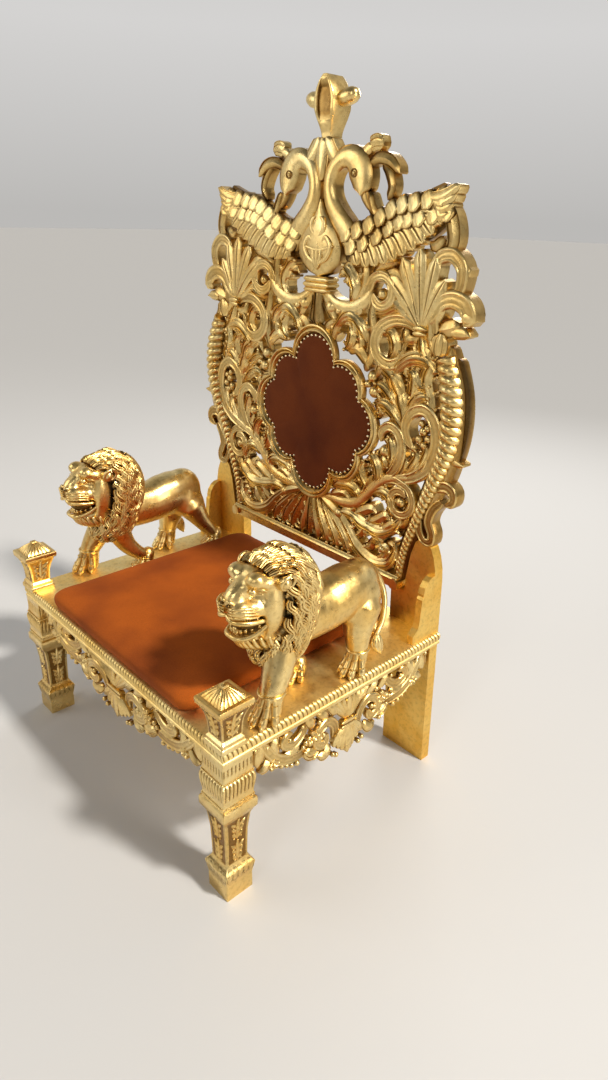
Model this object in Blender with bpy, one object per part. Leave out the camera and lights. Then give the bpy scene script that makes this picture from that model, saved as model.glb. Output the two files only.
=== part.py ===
"""Gilded carved wooden throne with a pierced back, two peacocks and two lions.

Metres, +Z up. X runs across the seat, Y from the front edge to the back, Z up from the floor.
The carved forms keep their proportions as hundredths of the back's or the lion's own size.
"""
import math

import bmesh
import bpy
from mathutils import Vector

# Driving sizes of the seat
SEAT_WIDTH = 1.02
SEAT_DEPTH = 0.735
SEAT_HEIGHT = 0.424
DECK_THICKNESS = 0.032
DECK_EDGE_ROUND = 0.012
GAP = 0.0003

# Front legs and the posts above them, as half widths of square sections
LEG_BLOCK_HALF = 0.044
LEG_CORNICE_HALF = 0.046
LEG_CAPITAL_HALF = 0.048
LEG_SHAFT_HALF = 0.030
LEG_FLARE_HALF = 0.043
LEG_FOOT_HALF = 0.037
LEG_INSET = 0.0455
LEG_FORWARD = 0.002
POST_INSET = 0.0325
POST_PLINTH_HALF = 0.0345
POST_NECK_HALF = 0.0265
POST_CAP_HALF = 0.0465
POST_CAP_RISE = 0.117
POST_APEX_RISE = 0.150

# Back uprights, braces and hidden rail
UPRIGHT_REVEAL = 0.012
UPRIGHT_WIDTH = 0.153
UPRIGHT_SETBACK = 0.029
UPRIGHT_THICKNESS = 0.032
UPRIGHT_SHOULDER = 0.700
BRACE_THICKNESS = 0.020
BRACE_DEPTH = 0.078
BRACE_HEIGHT = 0.182
BACK_RAIL_HEIGHT = 0.090

# Carved aprons
APRON_THICKNESS = 0.020
APRON_INSET = 0.012
APRON_CLEARANCE = 0.001
APRON_FRONT_DROP = 0.173
APRON_SIDE_DROP = 0.200

# Carved back, drawn in hundredths of its own width and height
PANEL_FOOT = 0.520
PANEL_SHY = 0.020
PANEL_HEIGHT = 1.00
PANEL_STAND_OFF = 0.012
PANEL_THICKNESS = 0.044
PANEL_LEAN = math.radians(1.5)
RAIL_LAP = 0.0325
RAIL_RISE = 0.038
PANEL_WING = 0.0565
SADDLE_RISE = 1.173
ROPE_TURNS = 25
ROPE_SLANT = 0.45
SCROLL_BREADTH = 1.16
STROKE_DEPTH = 2.0
BORDER = 0.9
MEDALLION_RISE = 0.43
MEDALLION_REACH = 0.264
CUSP_UP = (0.092, 0.172)
CUSP_OUT = (0.203, 0.084)
DIAGONAL_BULGE = 0.042
FRAME_WIDTH = 0.030
FRAME_THICKNESS = 0.018
MEDALLION_BED = 0.018
PAD_RISE = 0.012
FINIAL_HEIGHT = 0.152
FINIAL_CENTRE_BACK = 0.028

# Lions and seat pad
LION_SIZE = 1.00
LION_INSET = 0.080
LION_LEFT_START = 0.000
LION_RIGHT_START = -0.045
PAD_MARGIN = 0.155
PAD_FRONT = 0.004
PAD_CLEARANCE = 0.0025
PAD_EDGE = 0.034
PAD_CROWN = 0.054
PAD_CORNER = 0.045

# How finely the carving is cut: voxel sizes and triangle targets
PANEL_VOXEL = 0.007
PANEL_TRIANGLES = 3400
APRON_VOXEL = 0.005
APRON_FRONT_TRIANGLES = 430
APRON_SIDE_TRIANGLES = 320
LION_VOXEL = 0.0065
LION_TRIANGLES = 780
LOBE_STEPS = 5

# Places that follow from the sizes above
UPRIGHT_OUTER = SEAT_WIDTH / 2 - UPRIGHT_REVEAL
UPRIGHT_INNER = UPRIGHT_OUTER - UPRIGHT_WIDTH
UPRIGHT_FRONT = SEAT_DEPTH - UPRIGHT_SETBACK
BRACE_FOOT_FRONT = UPRIGHT_FRONT - BRACE_DEPTH
PANEL_WIDTH = SEAT_WIDTH - PANEL_SHY
PANEL_REACH = PANEL_WIDTH / 2 + PANEL_WING
PANEL_FRONT = UPRIGHT_FRONT - PANEL_STAND_OFF
PANEL_MID = PANEL_FRONT + PANEL_THICKNESS / 2
RAIL_HALF = UPRIGHT_INNER + RAIL_LAP
LION_CENTRE = SEAT_WIDTH / 2 - LION_INSET
PAD_HALF_WIDTH = SEAT_WIDTH / 2 - PAD_MARGIN
PAD_BACK = UPRIGHT_FRONT - PAD_CLEARANCE

CM = 0.01


def gilding(name, colour, metallic, roughness):
    """A plain Principled material for one kind of surface."""
    material = bpy.data.materials.new(name)
    material.use_nodes = True
    shader = material.node_tree.nodes["Principled BSDF"]
    shader.inputs["Base Color"].default_value = (*colour, 1.0)
    shader.inputs["Metallic"].default_value = metallic
    shader.inputs["Roughness"].default_value = roughness
    return material


def clear_scene():
    for old in list(bpy.data.objects):
        bpy.data.objects.remove(old)


def add_object(name, verts, faces, material):
    """A new mesh object with its faces turned outwards."""
    mesh = bpy.data.meshes.new(name)
    mesh.from_pydata([tuple(v) for v in verts], [], faces)
    work = bmesh.new()
    work.from_mesh(mesh)
    bmesh.ops.recalc_face_normals(work, faces=work.faces)
    work.to_mesh(mesh)
    work.free()
    mesh.materials.append(material)
    obj = bpy.data.objects.new(name, mesh)
    bpy.context.scene.collection.objects.link(obj)
    return obj


def freeze(obj):
    """Replaces an object's mesh by what its modifiers make of it."""
    bpy.context.view_layer.update()
    view = bpy.context.evaluated_depsgraph_get()
    mesh = bpy.data.meshes.new_from_object(obj.evaluated_get(view))
    obj.modifiers.clear()
    obj.data = mesh


def combine(obj, other, operation):
    """Joins or cuts an object with another one, which is used up.

    A thinned carving can graze itself where leaves touch, which only the manifold solver takes.
    """
    step = obj.modifiers.new(operation.title(), "BOOLEAN")
    step.solver = "MANIFOLD"
    step.operation = operation
    step.object = other
    freeze(obj)
    bpy.data.objects.remove(other)


def keep_largest(mesh):
    """Leaves only the biggest closed body of a mesh."""
    work = bmesh.new()
    work.from_mesh(mesh)
    left = set(work.verts)
    bodies = []
    while left:
        start = left.pop()
        body = {start}
        edge_of = [start]
        while edge_of:
            vert = edge_of.pop()
            for edge in vert.link_edges:
                other = edge.other_vert(vert)
                if other not in body:
                    body.add(other)
                    edge_of.append(other)
        left -= body
        bodies.append(body)
    bodies.sort(key=len)
    for body in bodies[:-1]:
        bmesh.ops.delete(work, geom=list(body), context="VERTS")
    bmesh.ops.triangulate(work, faces=work.faces)
    work.to_mesh(mesh)
    work.free()


def joined(shapes):
    """One vertex list and one face list from several closed shapes."""
    verts = []
    faces = []
    for shape_verts, shape_faces in shapes:
        first = len(verts)
        verts += shape_verts
        faces += [tuple(first + index for index in face) for face in shape_faces]
    return verts, faces


def fuse(name, shapes, voxel, triangles, material):
    """Melts overlapping closed shapes into one carved body of about this many triangles."""
    obj = add_object(name, *joined(shapes), material)
    melt = obj.modifiers.new("Melt", "REMESH")
    melt.mode = "VOXEL"
    melt.voxel_size = voxel
    freeze(obj)
    keep_largest(obj.data)
    thin = obj.modifiers.new("Thin", "DECIMATE")
    thin.ratio = triangles / len(obj.data.polygons)
    thin.use_collapse_triangulate = True
    freeze(obj)
    return obj


def along(points, steps):
    """Points of a smooth curve through the given ones, whatever values each holds."""
    found = []
    last = len(points) - 1
    for i in range(last):
        before = points[max(i - 1, 0)]
        here = points[i]
        there = points[i + 1]
        after = points[min(i + 2, last)]
        for k in range(steps):
            t = k / steps
            found.append(tuple(
                0.5 * (2 * b + (c - a) * t + (2 * a - 5 * b + 4 * c - d) * t * t
                       + (3 * b - a - 3 * c + d) * t ** 3)
                for a, b, c, d in zip(before, here, there, after)))
    found.append(tuple(points[last]))
    return found


def skin(rings):
    """A closed shape from rings of equal length, capped at both ends."""
    verts = [point for ring in rings for point in ring]
    sides = len(rings[0])
    faces = []
    for i in range(len(rings) - 1):
        for k in range(sides):
            low = i * sides
            faces.append((low + k, low + (k + 1) % sides, low + sides + (k + 1) % sides, low + sides + k))
    faces.append(tuple(reversed(range(sides))))
    faces.append(tuple(range((len(rings) - 1) * sides, len(rings) * sides)))
    return verts, faces


def limb(points, sides=10, steps=3, depth=None, facing=Vector((0, 1, 0))):
    """A round or flattened limb through points of x, y, z and radius, with rounded ends.

    With a depth, the section keeps that half depth along the facing direction.
    """
    path = along(points, steps)
    places = [Vector(p[:3]) for p in path]
    radii = [p[3] for p in path]
    rings = []
    for i, centre in enumerate(places):
        ahead = places[min(i + 1, len(places) - 1)] - places[max(i - 1, 0)]
        ahead.normalize()
        side = ahead.cross(facing)
        if side.length < 0.05:
            side = ahead.cross(Vector((1, 0, 0)))
        side.normalize()
        front = side.cross(ahead).normalized()
        shares = [(0.0, 1.0)]
        if i == 0:
            shares = [(-0.75, 0.55), (0.0, 1.0)]
        elif i == len(places) - 1:
            shares = [(0.0, 1.0), (0.75, 0.55)]
        for shift, share in shares:
            wide = radii[i] * share
            deep = (depth if depth else radii[i]) * share
            middle = centre + ahead * (radii[i] * shift)
            rings.append([
                middle + side * (wide * math.cos(turn)) + front * (deep * math.sin(turn))
                for turn in (2 * math.pi * k / sides for k in range(sides))])
    return skin(rings)


def ball(centre, radii, sides=12):
    """An ellipsoid."""
    bands = sides // 2
    rings = []
    for j in range(1, bands):
        fall = math.pi * j / bands
        rings.append([
            Vector((centre[0] + radii[0] * math.sin(fall) * math.cos(2 * math.pi * k / sides),
                    centre[1] + radii[1] * math.sin(fall) * math.sin(2 * math.pi * k / sides),
                    centre[2] + radii[2] * math.cos(fall)))
            for k in range(sides)])
    return skin(rings)


def block(low, high):
    """A box between two corners."""
    return skin([[Vector((x, y, z)) for x, y in
                  ((low[0], low[1]), (high[0], low[1]), (high[0], high[1]), (low[0], high[1]))]
                 for z in (low[2], high[2])])


def mirrored_shape(shape):
    """The same closed shape on the other side of the middle."""
    verts, faces = shape
    return ([Vector((-v[0], v[1], v[2])) for v in verts], [tuple(reversed(face)) for face in faces])


def square_stack(centre, levels):
    """Square sections piled up: each level is a height and a half width."""
    return skin([[Vector((centre[0] + a * half, centre[1] + b * half, z))
                  for a, b in ((-1, -1), (1, -1), (1, 1), (-1, 1))] for z, half in levels])


# The seat

def seat_deck(material):
    """The deck, with its rounded edge moulding on the front and both sides."""
    top = SEAT_HEIGHT
    bottom = SEAT_HEIGHT - DECK_THICKNESS
    levels = [(bottom, DECK_EDGE_ROUND)]
    for k in range(4):
        turn = math.pi / 2 * k / 3
        levels.append((bottom + 0.008 + (DECK_THICKNESS - 0.008) * math.sin(turn) * 0.6,
                       DECK_EDGE_ROUND * (1 - math.sin(turn)) * 0.8))
    levels += [(top - 0.004, 0.0), (top, 0.003)]
    rings = []
    for z, inset in levels:
        half = SEAT_WIDTH / 2 - inset
        rings.append([Vector((-half, inset, z)), Vector((half, inset, z)),
                      Vector((half, SEAT_DEPTH, z)), Vector((-half, SEAT_DEPTH, z))])
    deck = add_object("seat_deck", *skin(rings), material)
    for side in (1, -1):
        ends = sorted((side * (UPRIGHT_INNER - GAP), side * (UPRIGHT_OUTER + GAP)))
        notch = block((ends[0], UPRIGHT_FRONT - GAP, 0.0), (ends[1], SEAT_DEPTH + 0.1, top + 0.1))
        combine(deck, add_object("notch", *notch, material), "DIFFERENCE")
    return deck


def front_leg(name, side, material):
    """A square leg: block, flared cornice, capital, cavetto, shaft, leaf rim and foot."""
    top = SEAT_HEIGHT - DECK_THICKNESS - GAP
    levels = [
        (0.0, LEG_FOOT_HALF), (0.102, LEG_FOOT_HALF), (0.133, LEG_FLARE_HALF * 0.93),
        (0.189, LEG_FLARE_HALF), (0.209, LEG_FLARE_HALF * 0.93), (0.250, LEG_SHAFT_HALF * 0.98),
        (0.332, LEG_SHAFT_HALF), (0.446, LEG_SHAFT_HALF * 1.04), (0.531, LEG_SHAFT_HALF * 1.16),
        (0.592, LEG_CAPITAL_HALF * 0.86), (0.612, LEG_CAPITAL_HALF * 0.97), (0.622, LEG_CAPITAL_HALF),
        (0.668, LEG_CAPITAL_HALF), (0.681, LEG_CAPITAL_HALF * 0.88), (0.719, LEG_CAPITAL_HALF * 0.88),
        (0.732, LEG_CORNICE_HALF * 0.93), (0.781, LEG_CORNICE_HALF * 0.95), (0.821, LEG_CORNICE_HALF),
        (0.847, LEG_CORNICE_HALF), (0.857, LEG_BLOCK_HALF * 0.98), (0.875, LEG_BLOCK_HALF * 0.98),
        (0.883, LEG_BLOCK_HALF * 0.93), (1.0, LEG_BLOCK_HALF * 0.93)]
    centre = (side * (SEAT_WIDTH / 2 - LEG_INSET), LEG_INSET - LEG_FORWARD)
    stack = [(share * top, half) for share, half in levels]
    return add_object(name, *square_stack(centre, stack), material)


def post(name, side, material):
    """A square post: stepped plinth, concave flare, edged cap, low pyramid and apex knob."""
    foot = SEAT_HEIGHT + GAP
    levels = [(foot, POST_PLINTH_HALF), (foot + 0.012, POST_PLINTH_HALF),
              (foot + 0.013, POST_PLINTH_HALF * 0.9), (foot + 0.021, POST_PLINTH_HALF * 0.9),
              (foot + 0.023, POST_NECK_HALF)]
    flare_foot = 0.030
    flare_top = POST_CAP_RISE - 0.014
    for k in range(6):
        share = k / 5
        grow = share ** 2.2
        levels.append((foot + flare_foot + (flare_top - flare_foot) * share,
                       POST_NECK_HALF + (POST_CAP_HALF * 0.93 - POST_NECK_HALF) * grow))
    levels += [(foot + POST_CAP_RISE - 0.012, POST_CAP_HALF), (foot + POST_CAP_RISE, POST_CAP_HALF),
               (foot + POST_CAP_RISE + 0.003, POST_CAP_HALF * 0.9),
               (foot + POST_APEX_RISE - 0.008, 0.007), (foot + POST_APEX_RISE - 0.006, 0.0085),
               (foot + POST_APEX_RISE - 0.002, 0.0085), (foot + POST_APEX_RISE, 0.004)]
    centre = (side * (SEAT_WIDTH / 2 - POST_INSET), POST_INSET)
    return add_object(name, *square_stack(centre, levels), material)


def seat_pad(material):
    """A crowned cushion with round corners; it is flat only where it rests on the deck."""
    middle = (PAD_FRONT + PAD_BACK) / 2
    half_depth = (PAD_BACK - PAD_FRONT) / 2
    foot = SEAT_HEIGHT + GAP
    levels = [(0.0, 0.010), (0.006, 0.002), (0.020, 0.0), (PAD_EDGE, 0.006),
              (PAD_EDGE + 0.007, 0.022), (PAD_EDGE + 0.013, 0.060), (PAD_CROWN - 0.002, 0.130),
              (PAD_CROWN, 0.220)]
    rings = []
    for rise, inset in levels:
        a = PAD_HALF_WIDTH - inset
        b = half_depth - inset
        corner = PAD_CORNER + inset * 0.35
        ring = []
        for cx, cy, start in ((1, 1, 0), (-1, 1, 90), (-1, -1, 180), (1, -1, 270)):
            for k in range(5):
                turn = math.radians(start + 22.5 * k)
                ring.append(Vector((cx * (a - corner) + corner * math.cos(turn),
                                    middle + cy * (b - corner) + corner * math.sin(turn), foot + rise)))
        rings.append(ring)
    return add_object("seat_pad", *skin(rings), material)


# Carved aprons

def apron_strokes():
    """Half of an apron's carving in shares: x of the half length, z of the drop, half width."""
    return [
        [(0.00, -0.05, 1.3), (0.50, -0.05, 1.3), (0.985, -0.05, 1.3)],
        [(0.00, -0.50, 1.9), (0.02, -0.30, 1.6), (0.09, -0.08, 1.4)],
        [(0.00, -0.52, 2.2), (0.00, -0.75, 1.9), (0.00, -0.95, 1.4)],
        [(0.02, -0.55, 1.5), (0.08, -0.72, 1.7), (0.09, -0.84, 1.3)],
        [(0.04, -0.52, 1.4), (0.13, -0.62, 1.6), (0.16, -0.72, 1.3)],
        [(0.13, -0.66, 1.2), (0.15, -0.44, 1.2), (0.24, -0.32, 1.3), (0.34, -0.40, 1.3),
         (0.35, -0.56, 1.2), (0.27, -0.60, 1.2), (0.24, -0.50, 1.0)],
        [(0.15, -0.30, 1.1), (0.19, -0.16, 1.1), (0.24, -0.08, 1.1)],
        [(0.33, -0.60, 1.5), (0.40, -0.62, 1.6), (0.47, -0.56, 1.5)],
        [(0.38, -0.50, 1.7), (0.43, -0.40, 1.7), (0.40, -0.30, 1.4)],
        [(0.44, -0.56, 1.3), (0.55, -0.54, 1.4), (0.66, -0.52, 1.5), (0.76, -0.42, 1.4),
         (0.84, -0.26, 1.3), (0.90, -0.10, 1.1)],
        [(0.47, -0.10, 1.1), (0.50, -0.26, 1.3), (0.60, -0.34, 1.3), (0.69, -0.28, 1.2),
         (0.68, -0.17, 1.1), (0.61, -0.17, 1.0)],
        [(0.42, -0.30, 1.2), (0.45, -0.18, 1.2), (0.47, -0.08, 1.1)],
        [(0.76, -0.12, 1.3), (0.80, -0.24, 1.4), (0.77, -0.38, 1.2)],
        [(0.90, -0.08, 1.5), (0.93, -0.24, 1.5), (0.96, -0.36, 1.1)],
    ]


def apron(name, half, drop, place, triangles, material):
    """A pierced apron; place turns a distance along, a height and a depth into a point."""
    shapes = []
    for stroke in apron_strokes():
        for side in (1, -1):
            points = [(side * x * half, 0.0, z * drop, r * CM) for x, z, r in stroke]
            verts, faces = limb(points, sides=8, depth=APRON_THICKNESS / 2 * 0.98)
            shapes.append((verts, faces if side == 1 else [tuple(reversed(f)) for f in faces]))
    shapes.append(block((-half, -APRON_THICKNESS / 2, -0.020), (half, APRON_THICKNESS / 2, 0.010)))
    obj = fuse(name, shapes, APRON_VOXEL, triangles, material)
    top = add_object("top", *block((-half * 2, -0.1, -GAP), (half * 2, 0.1, 0.1)), material)
    combine(obj, top, "DIFFERENCE")
    for side in (1, -1):
        ends = sorted((side * half, side * half * 2))
        end = add_object("end", *block((ends[0], -0.1, -drop * 2), (ends[1], 0.1, 0.1)), material)
        combine(obj, end, "DIFFERENCE")
    for vert in obj.data.vertices:
        vert.co = place(*vert.co)
    obj.data.update()
    return obj


def aprons(material):
    top = SEAT_HEIGHT - DECK_THICKNESS
    widest = max(LEG_CAPITAL_HALF, LEG_CORNICE_HALF, LEG_BLOCK_HALF)
    leg_back = LEG_INSET - LEG_FORWARD + widest + APRON_CLEARANCE
    leg_inner = SEAT_WIDTH / 2 - LEG_INSET - widest - APRON_CLEARANCE
    front = APRON_INSET + APRON_THICKNESS / 2
    apron("apron_front", leg_inner, APRON_FRONT_DROP,
          lambda x, y, z: Vector((x, front + y, top + z)), APRON_FRONT_TRIANGLES, material)
    near = leg_back
    far = UPRIGHT_FRONT - APRON_CLEARANCE
    middle = (near + far) / 2
    out = SEAT_WIDTH / 2 - front
    apron("apron_right", (far - near) / 2, APRON_SIDE_DROP,
          lambda x, y, z: Vector((out - y, middle + x, top + z)), APRON_SIDE_TRIANGLES, material)
    apron("apron_left", (far - near) / 2, APRON_SIDE_DROP,
          lambda x, y, z: Vector((y - out, middle - x, top + z)), APRON_SIDE_TRIANGLES, material)


# Back uprights, braces and the hidden rail

def upright_outline():
    """The plank seen from the front, x and z, from its inner foot round to the notch."""
    clear = 0.004
    notch = PANEL_FOOT - GAP
    outer = [(UPRIGHT_INNER, 0.0), (UPRIGHT_OUTER, 0.0), (UPRIGHT_OUTER, UPRIGHT_SHOULDER - 0.12)]
    reach = UPRIGHT_OUTER - 0.446
    curve = [(UPRIGHT_OUTER - reach * (1 - math.cos(turn)), UPRIGHT_SHOULDER - 0.12 * (1 - math.sin(turn)))
             for turn in (math.pi / 2 * k / 5 for k in range(1, 6))]
    inner = [(edge_of_border(rise) + clear, PANEL_FOOT + rise) for rise in (0.160, 0.117, 0.036)]
    inner.append((edge_of_border(0.036) + clear, notch))
    return outer + curve + inner + [(UPRIGHT_INNER, notch)]


def upright(name, side, material):
    front = UPRIGHT_FRONT
    back = UPRIGHT_FRONT + UPRIGHT_THICKNESS
    rings = [[Vector((side * x, y, z)) for x, z in upright_outline()] for y in (front, back)]
    return add_object(name, *skin(rings), material)


def brace(name, side, material):
    """A board on the deck in front of the upright, with a stepped and rounded front edge."""
    foot = SEAT_HEIGHT + GAP
    back = UPRIGHT_FRONT - GAP
    depth = back - BRACE_FOOT_FRONT
    profile = [(0.00, 0.00), (0.00, 0.13), (0.10, 0.17), (0.24, 0.22), (0.30, 0.30), (0.38, 0.68),
               (0.44, 0.72), (0.43, 0.76), (0.50, 0.86), (0.64, 0.94), (0.82, 0.99), (1.00, 1.00),
               (1.00, 0.00)]
    outline = [(BRACE_FOOT_FRONT + a * depth, foot + b * BRACE_HEIGHT) for a, b in profile]
    rings = [[Vector((side * x, y, z)) for y, z in outline]
             for x in (UPRIGHT_OUTER - BRACE_THICKNESS, UPRIGHT_OUTER)]
    return add_object(name, *skin(rings), material)


def rail_back(material):
    top = SEAT_HEIGHT - DECK_THICKNESS - GAP
    half = UPRIGHT_INNER - GAP
    box = block((-half, UPRIGHT_FRONT, top - BACK_RAIL_HEIGHT), (half, UPRIGHT_FRONT + 0.026, top))
    return add_object("rail_back", *box, material)


# The carved back

def on_panel(x, z, forward=0.0):
    """A point of the back from hundredths across and up, leaning back with height."""
    rise = z * CM * PANEL_HEIGHT
    return Vector((x * CM * PANEL_WIDTH, PANEL_MID + rise * math.tan(PANEL_LEAN) - forward,
                   PANEL_FOOT + rise))


def stroke(points, depth=STROKE_DEPTH, forward=0.0, sides=8, steps=3):
    """A carved band on the back through points of x, z and half width in hundredths."""
    placed = [(*on_panel(x, z, forward * CM), r * CM) for x, z, r in points]
    return limb(placed, sides=sides, steps=steps, depth=depth * CM)


ROPE = [(36.7, 3.0, 1.3), (38.0, 11.7, 1.5), (40.9, 20.2, 1.8), (43.8, 27.8, 2.1), (46.8, 35.3, 2.6),
        (49.3, 42.3, 3.0), (50.2, 49.3, 3.3), (49.6, 56.6, 3.4), (47.6, 63.6, 3.0), (46.4, 66.0, 2.8)]


def edge_of_border(rise):
    """How far out the back's lower edge reaches at this height above its foot."""
    up = rise / CM / PANEL_HEIGHT
    path = along(ROPE, 6)
    near = min(path, key=lambda p: abs(p[1] - up))
    return (near[0] + near[2] + BORDER) * CM * PANEL_WIDTH


def scroll_strokes():
    """The right half of the scrollwork: runs of x, z and half width."""
    return [
        [(5, 16.5, 1.2), (12, 15.5, 1.6), (20, 19, 1.7), (26, 25.5, 1.8), (32, 31, 1.7), (39, 34.5, 1.6),
         (44.5, 40.5, 1.6), (45.5, 46.5, 1.5), (43, 50.8, 1.5), (38.5, 50.5, 1.4), (36.2, 46.8, 1.3),
         (37.8, 43, 1.3), (41, 43, 1.2)],
        [(29, 29.5, 1.4), (32.5, 35, 1.6), (34.5, 40, 1.6), (33.6, 44.6, 1.4), (30.5, 46, 1.4),
         (28.0, 43.2, 1.2), (28.3, 39.5, 1.4), (30, 37.5, 1.5)],
        [(34, 43, 1.5), (33, 49, 2.4), (30, 55, 2.6), (26, 59.5, 2.0), (22.5, 62, 1.2)],
        [(33.5, 48, 1.3), (37, 54, 1.8), (41, 58.5, 2.0), (44.5, 61.5, 1.6)],
        [(44, 55, 1.4), (43.5, 60, 1.6), (40, 63.5, 1.7), (35, 63.8, 1.7), (31, 61.5, 1.5), (32, 58.2, 1.4)],
        [(24, 52, 1.2), (27, 52.5, 1.6), (31, 49.5, 1.5), (34, 46, 1.2)],
        [(21.5, 55, 1.2), (21.5, 63, 1.5), (22, 69, 1.6), (20.5, 74, 1.3), (19, 79, 1.4)],
        [(38, 71.5, 1.3), (34, 73.2, 1.4), (29, 73, 1.5), (24.5, 70, 1.5), (23.7, 66, 1.5),
         (26.5, 62.3, 1.6), (31, 62.2, 1.5), (33, 65.5, 1.3), (30.5, 68, 1.1)],
        [(38.5, 71, 1.3), (40, 66.5, 1.8), (43.5, 62, 1.6), (46, 60, 1.2)],
        [(38.5, 71, 1.2), (35.5, 67, 1.6), (36, 63.5, 1.3)],
        [(45.5, 64.5, 2.6), (45.8, 68, 2.8), (45.5, 71.5, 2.6)],
        [(43.5, 71, 1.6), (44.0, 76, 1.8), (47, 79.0, 2.0), (50.5, 77.6, 2.2), (52.0, 74.5, 1.8),
         (50.8, 71.3, 1.4), (47.5, 71.2, 1.3)],
        [(51, 76, 1.6), (53.4, 75.8, 1.1)],
        [(47.0, 78.5, 1.3), (48.6, 83, 1.6), (48.2, 87, 1.7), (45.2, 89.6, 1.6), (42, 88.6, 1.5),
         (41.5, 85.5, 1.2)],
        [(45, 89, 1.3), (45.6, 94, 1.5), (43.8, 98, 1.6), (42.4, 102, 1.2)],
        [(20.5, 72, 1.4), (19.5, 78, 1.5), (21.5, 83, 1.6), (26.5, 85, 1.7), (30, 82.5, 1.5),
         (27, 80, 1.3)],
        [(3, 79.5, 1.3), (9, 76.5, 1.5), (15, 76, 1.8), (20, 78.5, 1.6)],
        [(10.5, 77, 1.2), (12.5, 82, 2.0), (10.5, 87, 1.6)],
        [(6, 64.5, 1.3), (9.5, 70.5, 1.7), (13.5, 73, 2.0), (18, 70.5, 2.0), (21, 66.5, 1.5)],
        [(0, 78, 2.2), (4, 74, 1.8), (8, 72.0, 1.4)],
        [(30, 30, 1.4), (34.5, 31.3, 1.3), (38.3, 29.5, 1.3), (39.8, 25.5, 1.4), (37.5, 22, 1.5),
         (34.2, 23, 1.4), (34.3, 26.5, 1.1)],
        [(25, 24.5, 1.3), (29.5, 26.5, 1.5), (33.5, 25.5, 1.2)],
        [(20.5, 36, 1.2), (23.5, 34.6, 1.5), (27.5, 31, 1.3)],
        [(20, 29.5, 1.2), (20.5, 25, 1.4), (22.5, 21.5, 1.3)],
        [(9, 21, 1.3), (13.5, 22.6, 1.6), (18.5, 23.2, 1.4), (20.5, 21, 1.2)],
        [(12.5, 62.5, 1.3), (16.5, 64.0, 1.6), (20.8, 60.5, 1.4)],
        [(14, 15, 1.4), (22, 17.0, 1.7), (28.5, 21.8, 1.5)],
        [(20, 15.5, 1.2), (28, 16, 1.7), (35, 17.5, 1.5), (38.5, 20.5, 1.2)],
        [(20, 14.5, 1.2), (28, 12.2, 1.7), (34, 12.8, 1.6), (38, 15, 1.2)],
        [(12, 15, 1.3), (16, 11, 1.6), (21, 6.8, 1.8), (27, 4.6, 1.8), (32, 5.6, 1.6), (33.2, 8.8, 1.3),
         (30.5, 10, 1.3)],
        [(32, 12.5, 1.1), (35.5, 8.5, 1.2), (34, 3.5, 1.2)],
    ]


def outer_edge_strokes():
    """The smooth outer board with its knob, ear and lower curl."""
    return [
        [(45.8, 27, 1.2), (49.4, 35, 1.8), (51.4, 42, 1.9), (51.8, 50, 1.8), (51.0, 58, 1.8),
         (48.8, 64, 1.6), (46.5, 69, 1.6)],
        [(51.5, 41, 1.2), (55.2, 40.8, 1.0)],
        [(47.5, 32.5, 1.4), (51.2, 33.4, 1.5), (52.4, 31, 1.4), (50.2, 28.8, 1.2), (47.6, 26.6, 1.3),
         (46.4, 23.5, 1.3), (47.6, 20.4, 1.3), (46.6, 17.6, 1.3), (44.0, 18.4, 1.2), (43.0, 21.5, 1.2)],
    ]


def palmette():
    """Five plumes that spread from a small collar."""
    shapes = [stroke([(36.6, 71.6, 1.0), (40.6, 71.9, 1.0)], depth=2.3)]
    for tip, bow in (((27.0, 84.5), -3.0), ((31.5, 89.0), -1.8), ((36.3, 91.5), -0.5), ((40.5, 90.5), 1.2),
                     ((45.0, 85.5), 2.6)):
        middle = ((38.5 + tip[0]) / 2 + bow * 0.2, (72 + tip[1]) / 2 + abs(bow) * 0.5)
        shapes.append(stroke([(38.5, 72, 0.9), (*middle, 1.7), (*tip, 1.5)]))
    return shapes


def leaf_fan():
    """Leaves that spread from the medallion's foot down to the bottom rail."""
    shapes = [stroke([(0, 18, 1.6), (0, 10, 1.5), (0, 4, 1.3)])]
    for tip in (4.0, 8.6, 13.4, 18.6):
        shapes.append(stroke([(1.0 + tip * 0.15, 17.5, 0.9), (tip * 0.62, 11.5, 1.5), (tip, 5.0, 1.3),
                              (tip + 0.4, 3.0, 1.2)]))
    return shapes


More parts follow.
